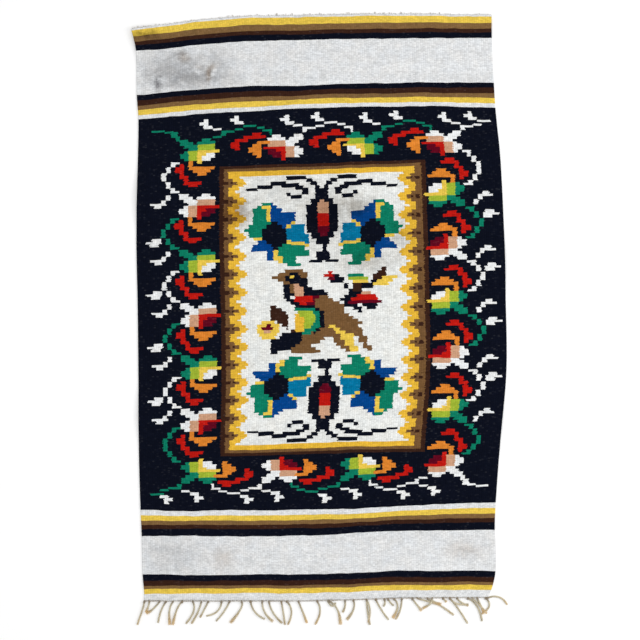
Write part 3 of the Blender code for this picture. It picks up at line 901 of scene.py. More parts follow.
def weave_panel_ornament(loom):
    """Four rosettes, two pods and four scrolls, above and below the panel's middle."""
    for low_half in (False, True):
        def put(yarn, left, right, low, high, sum_of_sides):
            """Weave a bar and its mirrored neighbour, turned over in the low half."""
            if low_half:
                low, high = LOWER_ROW - LOWER_SHARE * high, LOWER_ROW - LOWER_SHARE * low
            loom.bar(yarn, left, right, low, high)
            loom.bar(yarn, sum_of_sides - right, sum_of_sides - left, low, high)

        rosette_sum = LOWER_ROSETTE_SUM if low_half else UPPER_ROSETTE_SUM
        for number, line in enumerate(reversed(ROSETTE)):
            for column, letter in enumerate(line):
                if letter != ".":
                    warp = ROSETTE_LEFT + STEP_WARPS * column
                    row = ROSETTE_FOOT + ROSETTE_LINE * number
                    put(letter, warp, warp + STEP_WARPS, row, row + ROSETTE_LINE, rosette_sum)
        for yarn, blocks in (("Y", ROSETTE_VEIN), ("U", ROSETTE_TIP)):
            for block in blocks:
                put(yarn, *block, rosette_sum)
        for step in POD:
            put(step.yarn, step.left, step.right, step.low, step.high, step.left + step.right)
        for block in SCROLL:
            put("K", *block, WARP_SUM)


def woven_cells():
    """The letters of the whole cloth, pick by pick."""
    loom = Loom()
    weave_stripes(loom)
    weave_panel(loom)
    for half in HALVES:
        weave_half_border(loom, half)
    weave_panel_ornament(loom)
    for shape in BIRD:
        loom.shape(shape.yarn, shape.corners, BIRD_WARP, BIRD_ROW)
    return loom.cells


def weights_through(knots, at):
    """Share that each knot's value has in a smooth curve through all of them, for each place in at."""
    knots = np.asarray(knots, dtype=float)
    at = np.asarray(at, dtype=float)
    last = len(knots) - 1
    low = np.clip(np.searchsorted(knots, at, side="right") - 1, 0, last - 1)
    span = knots[low + 1] - knots[low]
    t = (at - knots[low]) / span
    rows = np.arange(len(at))
    weights = np.zeros((len(at), len(knots)))
    weights[rows, low] += (1 + 2 * t) * (1 - t) ** 2
    weights[rows, low + 1] += t * t * (3 - 2 * t)
    for knot, factor in ((low, t * (1 - t) ** 2 * span), (low + 1, -t * t * (1 - t) * span)):
        before = np.maximum(knot - 1, 0)
        after = np.minimum(knot + 1, last)
        slope = factor / (knots[after] - knots[before])
        weights[rows, after] += slope
        weights[rows, before] -= slope
    return weights


def on_cloth(shares, throws):
    """Places across and along of every share of the width on every throw of weft."""
    by_throw = weights_through(THROWS, throws)
    left = by_throw @ np.array([line.left for line in WEFT_LINES])
    right = by_throw @ np.array([line.right for line in WEFT_LINES])
    quarters = by_throw @ np.array([line[3:] for line in WEFT_LINES])
    across = left[:, None] + (right - left)[:, None] * np.asarray(shares)
    return across, quarters @ weights_through(QUARTERS, shares).T


def lift(across, along):
    """Height of the cloth's under side above the ground, nothing where it lies flat."""
    height = np.zeros_like(across)
    for wave in WAVES + CREASES:
        turn = math.radians(wave.heading)
        dx = across - wave.across
        dy = along - wave.along
        on_crest = (dx * math.cos(turn) + dy * math.sin(turn)) / wave.half_length
        off_crest = (dy * math.cos(turn) - dx * math.sin(turn)) / wave.half_width
        reach = np.minimum(np.hypot(on_crest, off_crest), 1.0)
        height += wave.height * np.cos(reach * math.pi / 2) ** 2
    return height


# How many places of the width and of the length the cloth's low corner is measured at
SHARES_MEASURED = 33
THROWS_MEASURED = 401


def frame_shift():
    """What turns the tables' places into the frame's, in millimetres: the cloth's low corner says it."""
    across, along = on_cloth(np.linspace(0, 1, SHARES_MEASURED), np.linspace(0, LAST_THROW, THROWS_MEASURED))
    low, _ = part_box("cloth")
    return low.x / MM - across.min(), low.y / MM - along.min()


SHIFT = frame_shift()


def to_frame(across, along, height):
    """Places of the tables as points of the frame, in metres."""
    across, along, height = np.broadcast_arrays(across, along, height)
    return np.stack((across + SHIFT[0], along + SHIFT[1], height), axis=-1).reshape(-1, 3) * MM


def new_piece(name, vertices, edges=(), faces=()):
    """A mesh object at the origin."""
    mesh = bpy.data.meshes.new(name)
    mesh.from_pydata(vertices.tolist(), list(edges), list(faces))
    piece = bpy.data.objects.new(name, mesh)
    bpy.context.scene.collection.objects.link(piece)
    return piece


def note(mesh, name, values):
    """Keep one number for each vertex."""
    layer = mesh.attributes.new(name, "FLOAT", "POINT")
    layer.data.foreach_set("value", np.asarray(values, dtype=np.float32).ravel())


def corners_of(grid):
    """The four corners of each cell of a grid of vertex numbers, in turn."""
    sides = (grid[:-1, :-1], grid[:-1, 1:], grid[1:, 1:], grid[1:, :-1])
    return np.stack(sides, axis=-1).reshape(-1, 4)


def turned_yarns(cells, seed):
    """The face's cells, RIB_PLACES to a warp. A yarn that meets another one turns back a little before or
    after the groove between their two warps, so that the border between them is slightly uneven."""
    face = np.repeat(cells, RIB_PLACES, axis=1)
    shares = (EARLY_TURNS, 1 - EARLY_TURNS * 2, EARLY_TURNS)
    turn = np.random.default_rng(seed).choice((-1, 0, 1), size=(len(cells), WARPS - 1), p=shares)
    before = turn < 0
    after = turn > 0
    face[:, RIB_PLACES - 1:-1:RIB_PLACES][before] = cells[:, 1:][before]
    face[:, RIB_PLACES::RIB_PLACES][after] = cells[:, :-1][after]
    return face


def weave_length(part, cells, colours, settings):
    """One length of the cloth as a closed sheet, with the colour of its yarn on every cell."""
    first, last = round(part.first_row * PICKS_PER_ROW), round(part.last_row * PICKS_PER_ROW)
    cells = cells[first:last]
    throws = np.arange(first, last + 1) / PICKS * LAST_THROW
    along_share = (np.arange(first, last + 1) - first) / (last - first)
    top_ribs = np.arange(WARPS * RIB_PLACES + 1) / RIB_PLACES
    under_ribs = np.arange(WARPS + 1.0)

    points, ribs, sides, places = [], [], [], []
    for rib, side in ((top_ribs, 1.0), (under_ribs, 0.0)):
        across, along = on_cloth(rib / WARPS, throws)
        height = lift(across, along) + side * (settings.thickness - settings.rib_height) / MM
        points.append(to_frame(across, along, height))
        ribs.append(np.broadcast_to(rib, across.shape).ravel())
        sides.append(np.full(across.size, side))
        across_share = np.broadcast_to(rib / WARPS, across.shape)
        places.append(np.stack((across_share, np.broadcast_to(along_share[:, None], across.shape)), -1))
    picks = [np.repeat(np.arange(first, last + 1.0), len(rib)) for rib in (top_ribs, under_ribs)]
    places = np.concatenate([place.reshape(-1, 2) for place in places])
    sides = np.concatenate(sides)

    lines = len(throws)
    top = np.arange(lines * len(top_ribs)).reshape(lines, -1)
    under = top.size + np.arange(lines * len(under_ribs)).reshape(lines, -1)
    left_wall = corners_of(np.stack((top[:, 0], under[:, 0]), axis=1))[:, ::-1]
    right_wall = corners_of(np.stack((top[:, -1], under[:, -1]), axis=1))
    end_walls = []
    for line in (0, -1):
        crests = [top[line, RIB_PLACES - back::RIB_PLACES][:WARPS] for back in range(RIB_PLACES + 1)]
        end_walls.append(np.column_stack((under[line, :-1], under[line, 1:], *crests)))
    end_walls[1] = end_walls[1][:, ::-1]
    faces = (corners_of(top), corners_of(under)[:, ::-1], left_wall, right_wall, *end_walls)
    face_cells = (turned_yarns(cells, first).ravel(), cells.ravel(), cells[:, 0], cells[:, -1],
                  cells[0], cells[-1])

    uv, paint = [], []
    strips = (TOP_STRIP, UNDER_STRIP) + WALL_STRIPS
    for number, (corners, letters, strip) in enumerate(zip(faces, face_cells, strips)):
        flat = corners.ravel()
        upright = places[flat, 1] if number < 2 else sides[flat]
        level = places[flat, 1] if number in (2, 3) else places[flat, 0]
        u = PICTURE_MARGIN + level * (1 - 2 * PICTURE_MARGIN)
        uv.append(np.column_stack((u, strip.low + upright * (strip.high - strip.low))))
        shades = np.array([colours[letter] for letter in letters])
        paint.append(np.repeat(shades, corners.shape[1], axis=0))

    all_faces = [face for group in faces for face in group.tolist()]
    piece = new_piece(part.name, np.concatenate(points), faces=all_faces)
    mesh = piece.data
    note(mesh, "rib", np.concatenate(ribs))
    note(mesh, "pick", np.concatenate(picks))
    note(mesh, "side", sides)
    smooth = np.arange(len(all_faces)) < len(faces[0]) + len(faces[1])
    mesh.polygons.foreach_set("use_smooth", smooth)
    picture = mesh.uv_layers.new(name="OFBake")
    picture.data.foreach_set("uv", np.concatenate(uv).astype(np.float32).ravel())
    layer = mesh.color_attributes.new("dye", "BYTE_COLOR", "CORNER")
    layer.data.foreach_set("color", np.concatenate(paint).astype(np.float32).ravel())
    return piece


def new_tree(name, inputs):
    """A geometry tree with named inputs: pairs of a name and a kind of socket."""
    tree = bpy.data.node_groups.new(name, "GeometryNodeTree")
    tree.interface.new_socket("Geometry", in_out="INPUT", socket_type="NodeSocketGeometry")
    for label, kind in inputs:
        tree.interface.new_socket(label, in_out="INPUT", socket_type="NodeSocket" + kind)
    tree.interface.new_socket("Geometry", in_out="OUTPUT", socket_type="NodeSocketGeometry")
    net = Net(tree)
    return tree, net, net.add("NodeGroupInput", out="Geometry")


def close_tree(net, geometry, material):
    """End a tree: real geometry with its material."""
    real = net.add("GeometryNodeRealizeInstances", {}, {"Geometry": geometry})
    done = net.add("GeometryNodeSetMaterial", {}, {"Geometry": real, "Material": material})
    net.add("NodeGroupOutput", {}, {"Geometry": done})


def grow(piece, tree, values):
    """Run a geometry tree on a piece, and keep the result as its plain mesh."""
    modifier = piece.modifiers.new(tree.name, "NODES")
    modifier.node_group = tree
    for item in tree.interface.items_tree:
        if item.item_type == "SOCKET" and item.in_out == "INPUT" and item.name in values:
            modifier[item.identifier] = values[item.name]
    piece.update_tag()
    graph = bpy.context.evaluated_depsgraph_get()
    evaluated = piece.evaluated_get(graph)
    mesh = bpy.data.meshes.new_from_object(evaluated, preserve_all_data_layers=True, depsgraph=graph)
    mesh.name = piece.name
    piece.modifiers.remove(modifier)
    old = piece.data
    piece.data = mesh
    bpy.data.meshes.remove(old)


def rib_tree():
    """Raises the weave's ribs, one over each warp, and makes the cloth's face a little uneven."""
    tree, net, geometry = new_tree("ribs of the weave", (
        ("Rib Height", "Float"), ("Uneven", "Float"), ("Ripple", "Float"), ("Wander", "Float"),
        ("Seed", "Int"), ("Material", "Material")))
    rib = net.kept_number("rib")
    side = net.kept_number("side")
    off_crest = (rib.plain("FRACT") * 2.0 - 1.0).plain("ABSOLUTE")
    profile = 1.0 - off_crest ** 3.0
    own = net.add("FunctionNodeRandomValue", {"data_type": "FLOAT"},
                  {2: -1.0, 3: 1.0, "ID": rib.plain("FLOOR"), "Seed": geometry.other("Seed")}, out=1)
    place = net.add("GeometryNodeInputPosition")
    patches = net.noise(place, 22.0, detail=2.0) - 0.5
    height = profile * geometry.other("Rib Height") * (1.0 + own * geometry.other("Uneven"))
    height = (height + patches * profile * geometry.other("Ripple")) * side
    wander = net.noise(place * (9.0, 14.0, 0.0), 1.0, detail=1.0) - 0.5
    fine_wander = net.noise(place * (34.0, 40.0, 0.0), 1.0, detail=1.0) - 0.5
    sideways = (wander + fine_wander * 0.45) * geometry.other("Wander")
    raised = net.add("GeometryNodeSetPosition", {},
                     {"Geometry": geometry, "Offset": net.join(0.0, sideways, height)})
    close_tree(net, raised, geometry.other("Material"))
    return tree


# How much the tone changes from one lot of yarn to the next, from fibre to fibre and from patch to patch
LOT_TONE = 0.16
HEATHER_TONE = 0.35
PATCH_TONE = 0.26
# A stain is the product of two fades outwards, counted in its half sizes: an even one that ends at STAIN_END,
# and a ragged one that ends at RAGGED_END, further in or out by as much as RAGGEDNESS makes of the noise.
STAIN_END = 1.2
RAGGED_END = 1.25
RAGGEDNESS = 3.2


def wool_weave_material(settings):
    """Weft-faced wool: the dye of each cell, streaks along the throws, grooves darkened with painted shade,
    beads painted lighter on their crowns and darker in their dents, pale specks that are partly fluff and
    partly painted sheen, and stains. A noise's scale is in waves to the metre, or to the warp and pick for
    the streaks and lots."""
    material, net = new_material("wool weave")
    colour = net.attribute("dye", out="Color")
    rib = net.attribute("rib")
    pick = net.attribute("pick")
    place = net.add("ShaderNodeTexCoord", out="Object")

    streak = net.noise(net.join(rib * 0.16, pick * 0.7), 1.0, detail=3.0, roughness=0.65)
    lot = net.noise(net.join(rib * 0.01, pick * 0.11), 1.0, detail=1.0)
    heather = net.noise(place, 150.0, detail=3.0, roughness=0.7)
    patches = net.noise(place, 45.0, detail=2.0, roughness=0.6)
    half_step = rib.plain("FLOOR") % 2.0 * 0.5
    bead_place = pick + half_step
    own = net.add("ShaderNodeTexWhiteNoise", {"noise_dimensions": "2D"},
                  {"Vector": net.join(rib.plain("FLOOR"), bead_place.plain("FLOOR"))})
    tone = 1.0 + (streak - 0.5) * (2 * settings.streaks) + (lot - 0.5) * LOT_TONE
    tone = tone + (heather - 0.5) * HEATHER_TONE + (patches - 0.5) * PATCH_TONE
    tone = tone + (own - 0.5) * settings.grain
    # Painted sheen: a few beads get pale additive specks, partly fluff and partly painted sheen.
    lint = own ** 24.0 * settings.lint
    colour = colour * tone + net.join(lint, lint, lint)

    mottle = net.noise(place, 30.0, detail=3.0, roughness=0.6)
    cool = net.add("ShaderNodeValToRGB", {"stops": ((0.35, (0.97, 0.985, 1.0)), (0.65, (1.01, 1.0, 0.985)))},
                   {"Fac": mottle})
    colour = colour * cool

    ragged = net.noise(place, 55.0, detail=4.0, roughness=0.7)
    across = net.add("ShaderNodeSeparateXYZ", {}, {"Vector": place}, out="X")
    for stain in STAINS:
        dx = (across - (stain.across + SHIFT[0]) * MM) / (stain.half_across * MM)
        dy = (across.other("Y") - (stain.along + SHIFT[1]) * MM) / (stain.half_along * MM)
        reach = (dx * dx + dy * dy) ** 0.5
        torn = (RAGGED_END - reach + (ragged - 0.5) * RAGGEDNESS).kept(0.0, 1.0)
        amount = torn * (STAIN_END - reach).kept(0.0, 1.0)
        colour = net.blend("MULTIPLY", amount * stain.strength, colour,
                           tuple(getattr(settings, stain.soil)))

    # Painted shade: the grooves between the warps are painted darker, by the share that groove_shade gives.
    groove = (rib.plain("FRACT") * 2.0 - 1.0).plain("ABSOLUTE") ** 6.0
    colour = colour * (1.0 - groove * settings.groove_shade)

    bead = 1.0 - (bead_place.plain("FRACT") * 2.0 - 1.0).plain("ABSOLUTE") ** 2.5
    crown = 1.0 - groove
    fuzz = net.noise(place, 900.0, detail=3.0, roughness=0.7)
    relief = bead * crown + fuzz * 0.6 + streak * 0.5
    bump = {"Strength": 0.8, "Distance": settings.bead_depth, "Height": relief}
    normal = net.add("ShaderNodeBump", {}, bump)
    # Painted light and shade: each bead is painted lighter on its crown and darker in the dents between beads
    # and warps.
    colour = colour * (0.9 + bead * crown * 0.14)
    finish_material(net, colour, 0.92, normal, specular=0.04)
    return material


# The throws over which a length's width and length are averaged
FLAT_THROWS = 9


def flat_size(part):
    """Width and length that one length of cloth was woven to, in metres."""
    throws = np.array((part.first_row, part.last_row)) / ROWS * LAST_THROW
    across, along = on_cloth(QUARTERS, np.linspace(*throws, FLAT_THROWS))
    width = (across[:, -1] - across[:, 0]).mean()
    return width * MM, (along[-1] - along[0]).mean() * MM


def height_over_edge(across_places, throw):
    """How far along one throw lies at some places across, and how high the cloth stands there."""
    across, along = on_cloth(np.linspace(0, 1, WARPS + 1), (throw,))
    along = np.interp(across_places, across[0], along[0])
    return along, lift(np.asarray(across_places, dtype=float), along)


# A bare centre line: its points, and for each point how golden, frayed and soiled the yarn is
Thread = namedtuple("Thread", "points gold fray soil")


def threads_of_strands(settings):
    """The centre lines of the fringe's strands, each in one bend on the ground."""
    thickness = settings.ply_radius * (1 + math.sqrt(2)) / MM
    threads = []
    for strand in STRANDS + CROSSING_STRANDS:
        along, _ = height_over_edge([strand.root], 0.0)
        root = np.array((strand.root, along[0] - CUT_ROOT))
        middle = np.array((strand.mid_across, -strand.mid_out))
        tip = np.array((strand.tip_across, -strand.tip_out))
        bend = middle * 2 - tip / 2
        t = np.linspace(0, 1, STRAND_POINTS)[:, None]
        line = root + bend * (2 * t * (1 - t)) + tip * (t * t)
        line = np.vstack(((strand.root, along[0] - ROOT_GAP), line))
        t = np.concatenate(((0.0,), t[:, 0]))
        height = thickness + strand.over * np.sin(np.pi * np.minimum(t * HUMP, 1.0)) ** 2
        points = to_frame(line[:, 0], line[:, 1], height)
        late = np.clip((t - FRAY_START) / (1 - FRAY_START), 0, 1) ** FRAY_RISE
        threads.append(Thread(points, strand.gold * late, (strand.tip - EVEN_TIP) * late * FRAY,
                              np.clip(1 - t * SOIL_FADE, 0, 1)))
    return threads


def threads_of_heading():
    """One line along the cloth's lower edge, from selvedge to selvedge."""
    across, along = on_cloth(np.linspace(HEADING_INSET, 1 - HEADING_INSET, HEADING_POINTS), (0.0,))
    height = lift(across[0], along[0]) + HEADING_RADIUS * 2
    points = to_frame(across[0], along[0] - HEADING_RADIUS * 2, height)
    nothing = np.zeros(len(points))
    return [Thread(points, nothing, nothing, nothing + HEADING_SOIL)]


def threads_of_cut_warps():
    """A short stub for each warp at the plain upper end, of uneven length and lean."""
    draw = np.random.default_rng(11)
    across, along = on_cloth((np.arange(WARPS) + 0.5) / WARPS, (LAST_THROW,))
    height = lift(across[0], along[0]) + STUB_HEIGHT
    steps = np.linspace(0, 1, STUB_POINTS)
    nothing = np.zeros(STUB_POINTS)
    threads = []
    for x, y, z in zip(across[0], along[0], height):
        reach = draw.uniform(*SHORT_STUB) if draw.random() < SHORT_SHARE else draw.uniform(*LONG_STUB)
        lean = draw.normal(0.0, STUB_LEAN)
        line_x = x + lean * reach * steps ** STUB_BEND
        line_y = y - STUB_INSET + (reach + STUB_INSET) * steps
        points = to_frame(line_x, line_y, z - (z - STUB_TIP_HEIGHT) * STUB_DROP * steps ** 2)
        soil = draw.uniform(0.0, STUB_SOIL)
        threads.append(Thread(points, nothing, steps ** 2 * STUB_FRAY, nothing + soil))
    return threads


def piece_of_threads(name, threads):
    """A mesh of bare lines that keeps each thread's notes, and its own number."""
    points, edges, start = [], [], 0
    for thread in threads:
        count = len(thread.points)
        points.append(thread.points)
        edges += [(start + k, start + k + 1) for k in range(count - 1)]
        start += count
    piece = new_piece(name, np.concatenate(points), edges=edges)
    for label in ("gold", "fray", "soil"):
        note(piece.data, label, np.concatenate([getattr(thread, label) for thread in threads]))
    note(piece.data, "strand", np.concatenate([np.full(len(t.points), i) for i, t in enumerate(threads)]))
    return piece


def yarn_tree():
    """Turns each bare line into plies that wind round it and spread where the yarn is frayed."""
    tree, net, given = new_tree("plied yarn", (
        ("Plies", "Int"), ("Ply Radius", "Float"), ("Spread", "Float"), ("Turn", "Float"),
        ("Step", "Float"), ("Sides", "Int"), ("Wobble", "Float"), ("Seed", "Float"),
        ("Material", "Material")))
    lines = net.add("GeometryNodeMeshToCurve", {}, {"Mesh": given})
    lines = net.add("GeometryNodeResampleCurve", {"mode": "LENGTH"},
                    {"Curve": lines, "Length": given.other("Step")})
    plies = net.add("GeometryNodeDuplicateElements", {"domain": "SPLINE"},
                    {"Geometry": lines, "Amount": given.other("Plies")})
    number = plies.other("Duplicate Index")
    fray = net.kept_number("fray")
    strand = net.kept_number("strand")
    factor = net.add("GeometryNodeSplineParameter")
    run = factor.other("Length")

    angle = (number / given.other("Plies") + run / given.other("Turn") + strand * 0.37) * (2 * math.pi)
    level = net.add("GeometryNodeInputNormal")
    tangent = net.add("GeometryNodeInputTangent")
    upright = net.add("ShaderNodeVectorMath", {"operation": "CROSS_PRODUCT"}, {0: tangent, 1: level})
    turned = level * angle.plain("COSINE") + upright * angle.plain("SINE")
    place = net.add("GeometryNodeInputPosition")
    where = place * (90.0, 90.0, 90.0) + net.join(number * 3.7, strand * 1.9, given.other("Seed"))
    stray = net.noise(where, 1.0, detail=1.0).other("Color") - (0.5, 0.5, 0.5)
    offset = turned * (given.other("Spread") * (1.0 + fray)) + stray * (given.other("Wobble") * (0.35 + fray))
    laid = net.add("GeometryNodeSetPosition", {}, {"Geometry": plies, "Offset": offset})
    apart = net.add("ShaderNodeSeparateXYZ", {}, {"Vector": place}, out="X")
    above = net.add("ShaderNodeMath", {"operation": "MAXIMUM"},
                    {0: apart.other("Z"), 1: given.other("Ply Radius")})
    laid = net.add("GeometryNodeSetPosition", {},
                   {"Geometry": laid, "Position": net.join(apart, apart.other("Y"), above)})

    laid = net.keep_number(laid, "ply", number)
    laid = net.keep_number(laid, "run", run)
    slim = 1.0 - ((factor - 0.88) * 8.0).kept(0.0, 1.0) * 0.55
    yarn = net.tube(laid, factor, given.other("Sides"), given.other("Ply Radius"), slim)
    close_tree(net, yarn, given.other("Material"))
    return tree


def knot_tree():
    """Winds a small knot of yarn round every point."""
    tree, net, given = new_tree("knots", (
        ("Knot Radius", "Float"), ("Yarn Radius", "Float"), ("Turns", "Float"), ("Seed", "Int"),
        ("Material", "Material")))
    spiral = net.add("GeometryNodeCurveSpiral", {}, {
        "Resolution": 14, "Rotations": given.other("Turns"), "Start Radius": given.other("Knot Radius"),
        "End Radius": given.other("Knot Radius") * 0.8, "Height": given.other("Knot Radius") * 2.2})
    factor = net.add("GeometryNodeSplineParameter")
    spiral = net.keep_number(spiral, "run", factor.other("Length"))
    knot = net.tube(spiral, factor, 7, given.other("Yarn Radius"), 1.0)
    turn = net.add("FunctionNodeRandomValue", {"data_type": "FLOAT_VECTOR"}, {
        0: (1.25, -0.5, -0.35), 1: (1.85, 0.5, 0.35), "Seed": given.other("Seed")})
    size = net.add("FunctionNodeRandomValue", {"data_type": "FLOAT"},
                   {2: 0.75, 3: 1.1, "Seed": given.other("Seed")}, out=1)
    points = net.add("GeometryNodeMeshToPoints", {}, {"Mesh": given})
    knots = net.add("GeometryNodeInstanceOnPoints", {},
                    {"Points": points, "Instance": knot, "Rotation": turn, "Scale": size})
    close_tree(net, knots, given.other("Material"))
    return tree


def yarn_material(name, settings, pale, dark, soiled):
    """Spun yarn: fibres that wind round each ply, soiled near the knots and golden towards some tips. soiled
    is how much of the dark colour the soil takes at most."""
    material, net = new_material(name)
    run = net.attribute("run")
    ply = net.attribute("ply")
    gold = net.attribute("gold")
    soil = net.attribute("soil")
    place = net.add("ShaderNodeTexCoord", out="Object")
    wind = net.attribute("round") * 5.0 + run * 700.0
    fibre = net.noise(net.join(wind, run * 120.0, ply * 5.3), 1.0, detail=3.0, roughness=0.6)
    patch = net.noise(place, 60.0, detail=3.0)
    dark_ply = (ply % 2.0) * (0.45 + (patch - 0.5) * 1.6)
    colour = net.blend("MIX", dark_ply.kept(0.0, 1.0), tuple(pale), tuple(settings.olive))
    colour = net.blend("MIX", (soil + (patch - 0.5) * 1.4).kept(0.0, 1.0) * soiled, colour, tuple(dark))
    colour = net.blend("MIX", (gold * 1.2 + (patch - 0.5) * 0.5).kept(0.0, 1.0), colour, tuple(settings.gold))
    colour = colour * (0.72 + fibre * 0.62)
    normal = net.add("ShaderNodeBump", {}, {"Strength": 0.7, "Distance": 0.3 * MM, "Height": fibre})
    finish_material(net, colour, 0.9, normal, sheen=0.1, specular=0.15)
    return material


class TAPESTRY_OT_fringe(bpy.types.Operator):
    """Lay the fringe: strands of four plies, their knots, stray fibres and the heading cord"""

    bl_idname = "tapestry.fringe"
    bl_label = "Lay the Fringe"

    def execute(self, context):
        settings = context.scene.tapestry_fringe
        tree = yarn_tree()
        yarn = yarn_material("warp yarn", settings, settings.grey, settings.soil, 0.8)
        knot_yarn = yarn_material("knotted yarn", settings, settings.soil, settings.knot, 1.0)
        lines = threads_of_strands(settings)
        touching = settings.ply_radius * math.sqrt(2)

        strands = piece_of_threads("fringe_strands", lines)
        grow(strands, tree, {"Plies": settings.plies, "Ply Radius": settings.ply_radius, "Spread": touching,
                             "Turn": settings.turn, "Step": 2.0 * MM, "Sides": 6, "Wobble": 1.1 * MM,
                             "Seed": 1.0, "Material": yarn})
        fibres = piece_of_threads("fringe_fibres", lines)
        grow(fibres, tree, {"Plies": settings.fibres, "Ply Radius": settings.fibre_radius,
                            "Spread": touching * FIBRE_SPREAD, "Turn": settings.turn * FIBRE_TURN,
                            "Step": 3.0 * MM, "Sides": 3, "Wobble": 4.5 * MM, "Seed": 5.0, "Material": yarn})
        heading_yarn = yarn_material("heading yarn", settings, settings.cut, settings.knot, 0.9)
        heading = piece_of_threads("fringe_heading", threads_of_heading())
        grow(heading, tree, {"Plies": 2, "Ply Radius": HEADING_RADIUS * MM, "Spread": HEADING_RADIUS * MM,
                             "Turn": 9.0 * MM, "Step": 1.8 * MM, "Sides": 6, "Wobble": 0.5 * MM,
                             "Seed": 3.0, "Material": heading_yarn})

        roots = np.array([strand.root for strand in STRANDS])
        along, height = height_over_edge(roots, 0.0)
        middles = to_frame(roots, along - CUT_ROOT + KNOT_INSET, height + KNOT_HEIGHT)
        knots = new_piece("fringe_knots", middles)
        grow(knots, knot_tree(), {"Knot Radius": KNOT_RADIUS * MM, "Yarn Radius": KNOT_YARN_RADIUS * MM,
                                  "Turns": 2.6, "Seed": 4, "Material": knot_yarn})
        for made in (strands, fibres, heading, knots):
            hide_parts("fringe")
            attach(made, "root")
        return {"FINISHED"}


class TAPESTRY_OT_warp_ends(bpy.types.Operator):
    """Cut the warps at the plain upper end, one short stub for each"""

    bl_idname = "tapestry.warp_ends"
    bl_label = "Cut the Warp Ends"

    def execute(self, context):
        settings = context.scene.tapestry_fringe
        piece = piece_of_threads("cut_warp_ends", threads_of_cut_warps())
        material = yarn_material("cut warps", settings, settings.cut, settings.soil, 0.8)
        grow(piece, yarn_tree(), {"Plies": 3, "Ply Radius": 0.5 * MM, "Spread": 0.6 * MM,
                                  "Turn": 7.0 * MM, "Step": 1.2 * MM, "Sides": 5, "Wobble": 1.6 * MM,
                                  "Seed": 8.0, "Material": material})
        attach(piece, "root")
        return {"FINISHED"}


class TAPESTRY_OT_cloth(bpy.types.Operator):
    """Weave the cloth in five lengths, with its stripes, border, panel and bird"""

    bl_idname = "tapestry.cloth"
    bl_label = "Weave the Cloth"

    def execute(self, context):
        settings = context.scene.tapestry_cloth
        colours = {letter: (*getattr(settings, name), 1.0) for letter, name in YARNS.items()}
        cells = woven_cells()
        tree = rib_tree()
        material = wool_weave_material(settings)
        for part in LENGTHS:
            piece = weave_length(part, cells, colours, settings)
            grow(piece, tree, {"Rib Height": settings.rib_height, "Uneven": settings.uneven,
                               "Ripple": 0.5 * MM, "Wander": settings.wander, "Seed": 7,
                               "Material": material})
            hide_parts("cloth")
            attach(piece, "root")
            on_it = [name for name in ON_LENGTHS.get(part.name, ()) if name in bpy.data.objects]
            flat_size(part)
        return {"FINISHED"}


class TAPESTRY_OT_stage(bpy.types.Operator):
    """Set the pale floor, the soft light and the camera straight above"""

    bl_idname = "tapestry.stage"
    bl_label = "Set the Stage"

    def execute(self, context):
        settings = context.scene.tapestry_stage
        scene = context.scene
        lay_floor(settings)
        for light in LIGHTS:
            hang_light(light, getattr(settings, light.power))
        world = bpy.data.worlds.new("soft light")
        world.use_nodes = True
        around = world.node_tree.nodes["Background"]
        around.inputs["Color"].default_value = (1.0, 1.0, 1.0, 1.0)
        around.inputs["Strength"].default_value = settings.around
        scene.world = world
        scene.view_settings.view_transform = "Standard"
        place_camera(settings)
        return {"FINISHED"}


def lay_floor(settings):
    """A broad pale floor just under the cloth, with faint unevenness of tone."""
    corners = np.array(((-1, -1), (1, -1), (1, 1), (-1, 1))) * FLOOR_HALF
    vertices = np.column_stack((corners, np.full(4, -FLOOR_DROP * MM)))
    floor = new_piece("floor", vertices, faces=((0, 1, 2, 3),))
    material, net = new_material("pale floor")
    place = net.add("ShaderNodeTexCoord", out="Object")
    tone = 0.99 + (net.noise(place, 3.0, detail=2.0) - 0.5) * 0.02
    finish_material(net, net.join(*settings.floor) * tone, 0.9, specular=0.1)
    floor.data.materials.append(material)


def hang_light(light, power):
    """A square area light that looks at the middle of the cloth."""
    lamp = bpy.data.lights.new(light.name, "AREA")
    lamp.energy = power
    lamp.size = light.side
    holder = bpy.data.objects.new(light.name, lamp)
    bpy.context.scene.collection.objects.link(holder)
    x, y, z = (0.0 - part for part in light.place)
    holder.location = light.place
    holder.rotation_euler = (math.atan2(math.hypot(x, y), -z), 0.0, math.atan2(y, x) - math.pi / 2)


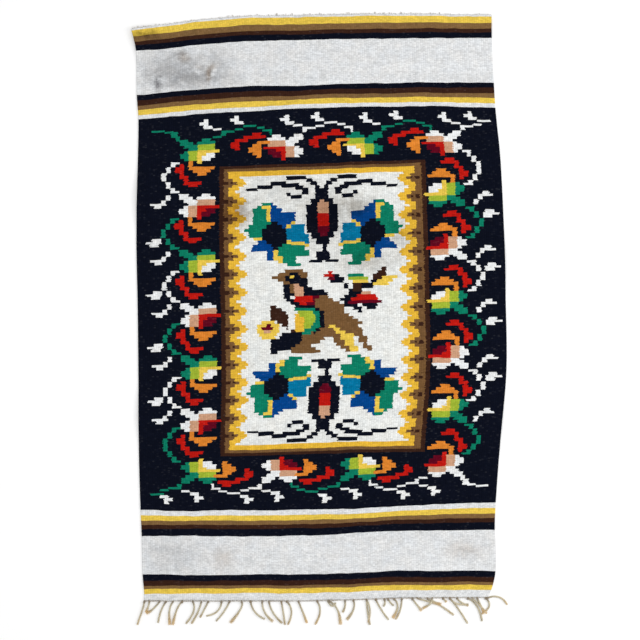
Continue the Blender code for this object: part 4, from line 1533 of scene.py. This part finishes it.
def place_camera(settings):
    """A camera straight above, far enough for the photograph's frame."""
    camera = bpy.data.cameras.new("camera")
    camera.lens = settings.lens
    camera.sensor_width = SENSOR
    holder = bpy.data.objects.new("camera", camera)
    bpy.context.scene.collection.objects.link(holder)
    distance = (FRAME_WIDTH * settings.lens / SENSOR + FACE_HEIGHT) * MM
    holder.location = (PHOTO_MIDDLE[0] * MM, PHOTO_MIDDLE[1] * MM, distance)
    bpy.context.scene.camera = holder


class TAPESTRY_PT_sidebar(bpy.types.Panel):
    """Shows the settings of the tapestry and the buttons that make its pieces"""

    bl_label = "Tapestry"
    bl_idname = "TAPESTRY_PT_sidebar"
    bl_space_type = "VIEW_3D"
    bl_region_type = "UI"
    bl_category = "Tapestry"

    def draw(self, context):
        scene = context.scene
        groups = ((scene.tapestry_fringe, (TAPESTRY_OT_fringe, TAPESTRY_OT_warp_ends)),
                  (scene.tapestry_cloth, (TAPESTRY_OT_cloth,)),
                  (scene.tapestry_stage, (TAPESTRY_OT_stage,)))
        for settings, operators in groups:
            box = self.layout.box()
            for name in settings.__annotations__:
                box.prop(settings, name)
            for operator in operators:
                box.operator(operator.bl_idname)


CLASSES = (ClothSettings, FringeSettings, StageSettings, TAPESTRY_OT_fringe, TAPESTRY_OT_warp_ends,
           TAPESTRY_OT_cloth, TAPESTRY_OT_stage, TAPESTRY_PT_sidebar)


def register():
    for each in CLASSES:
        bpy.utils.register_class(each)
    bpy.types.Scene.tapestry_cloth = bpy.props.PointerProperty(type=ClothSettings)
    bpy.types.Scene.tapestry_fringe = bpy.props.PointerProperty(type=FringeSettings)
    bpy.types.Scene.tapestry_stage = bpy.props.PointerProperty(type=StageSettings)


def unregister():
    del bpy.types.Scene.tapestry_stage
    del bpy.types.Scene.tapestry_fringe
    del bpy.types.Scene.tapestry_cloth
    for each in reversed(CLASSES):
        bpy.utils.unregister_class(each)


def main():
    register()
    bpy.ops.tapestry.fringe()
    bpy.ops.tapestry.warp_ends()
    bpy.ops.tapestry.cloth()
    bpy.ops.tapestry.stage()


if __name__ == "__main__":
    main()
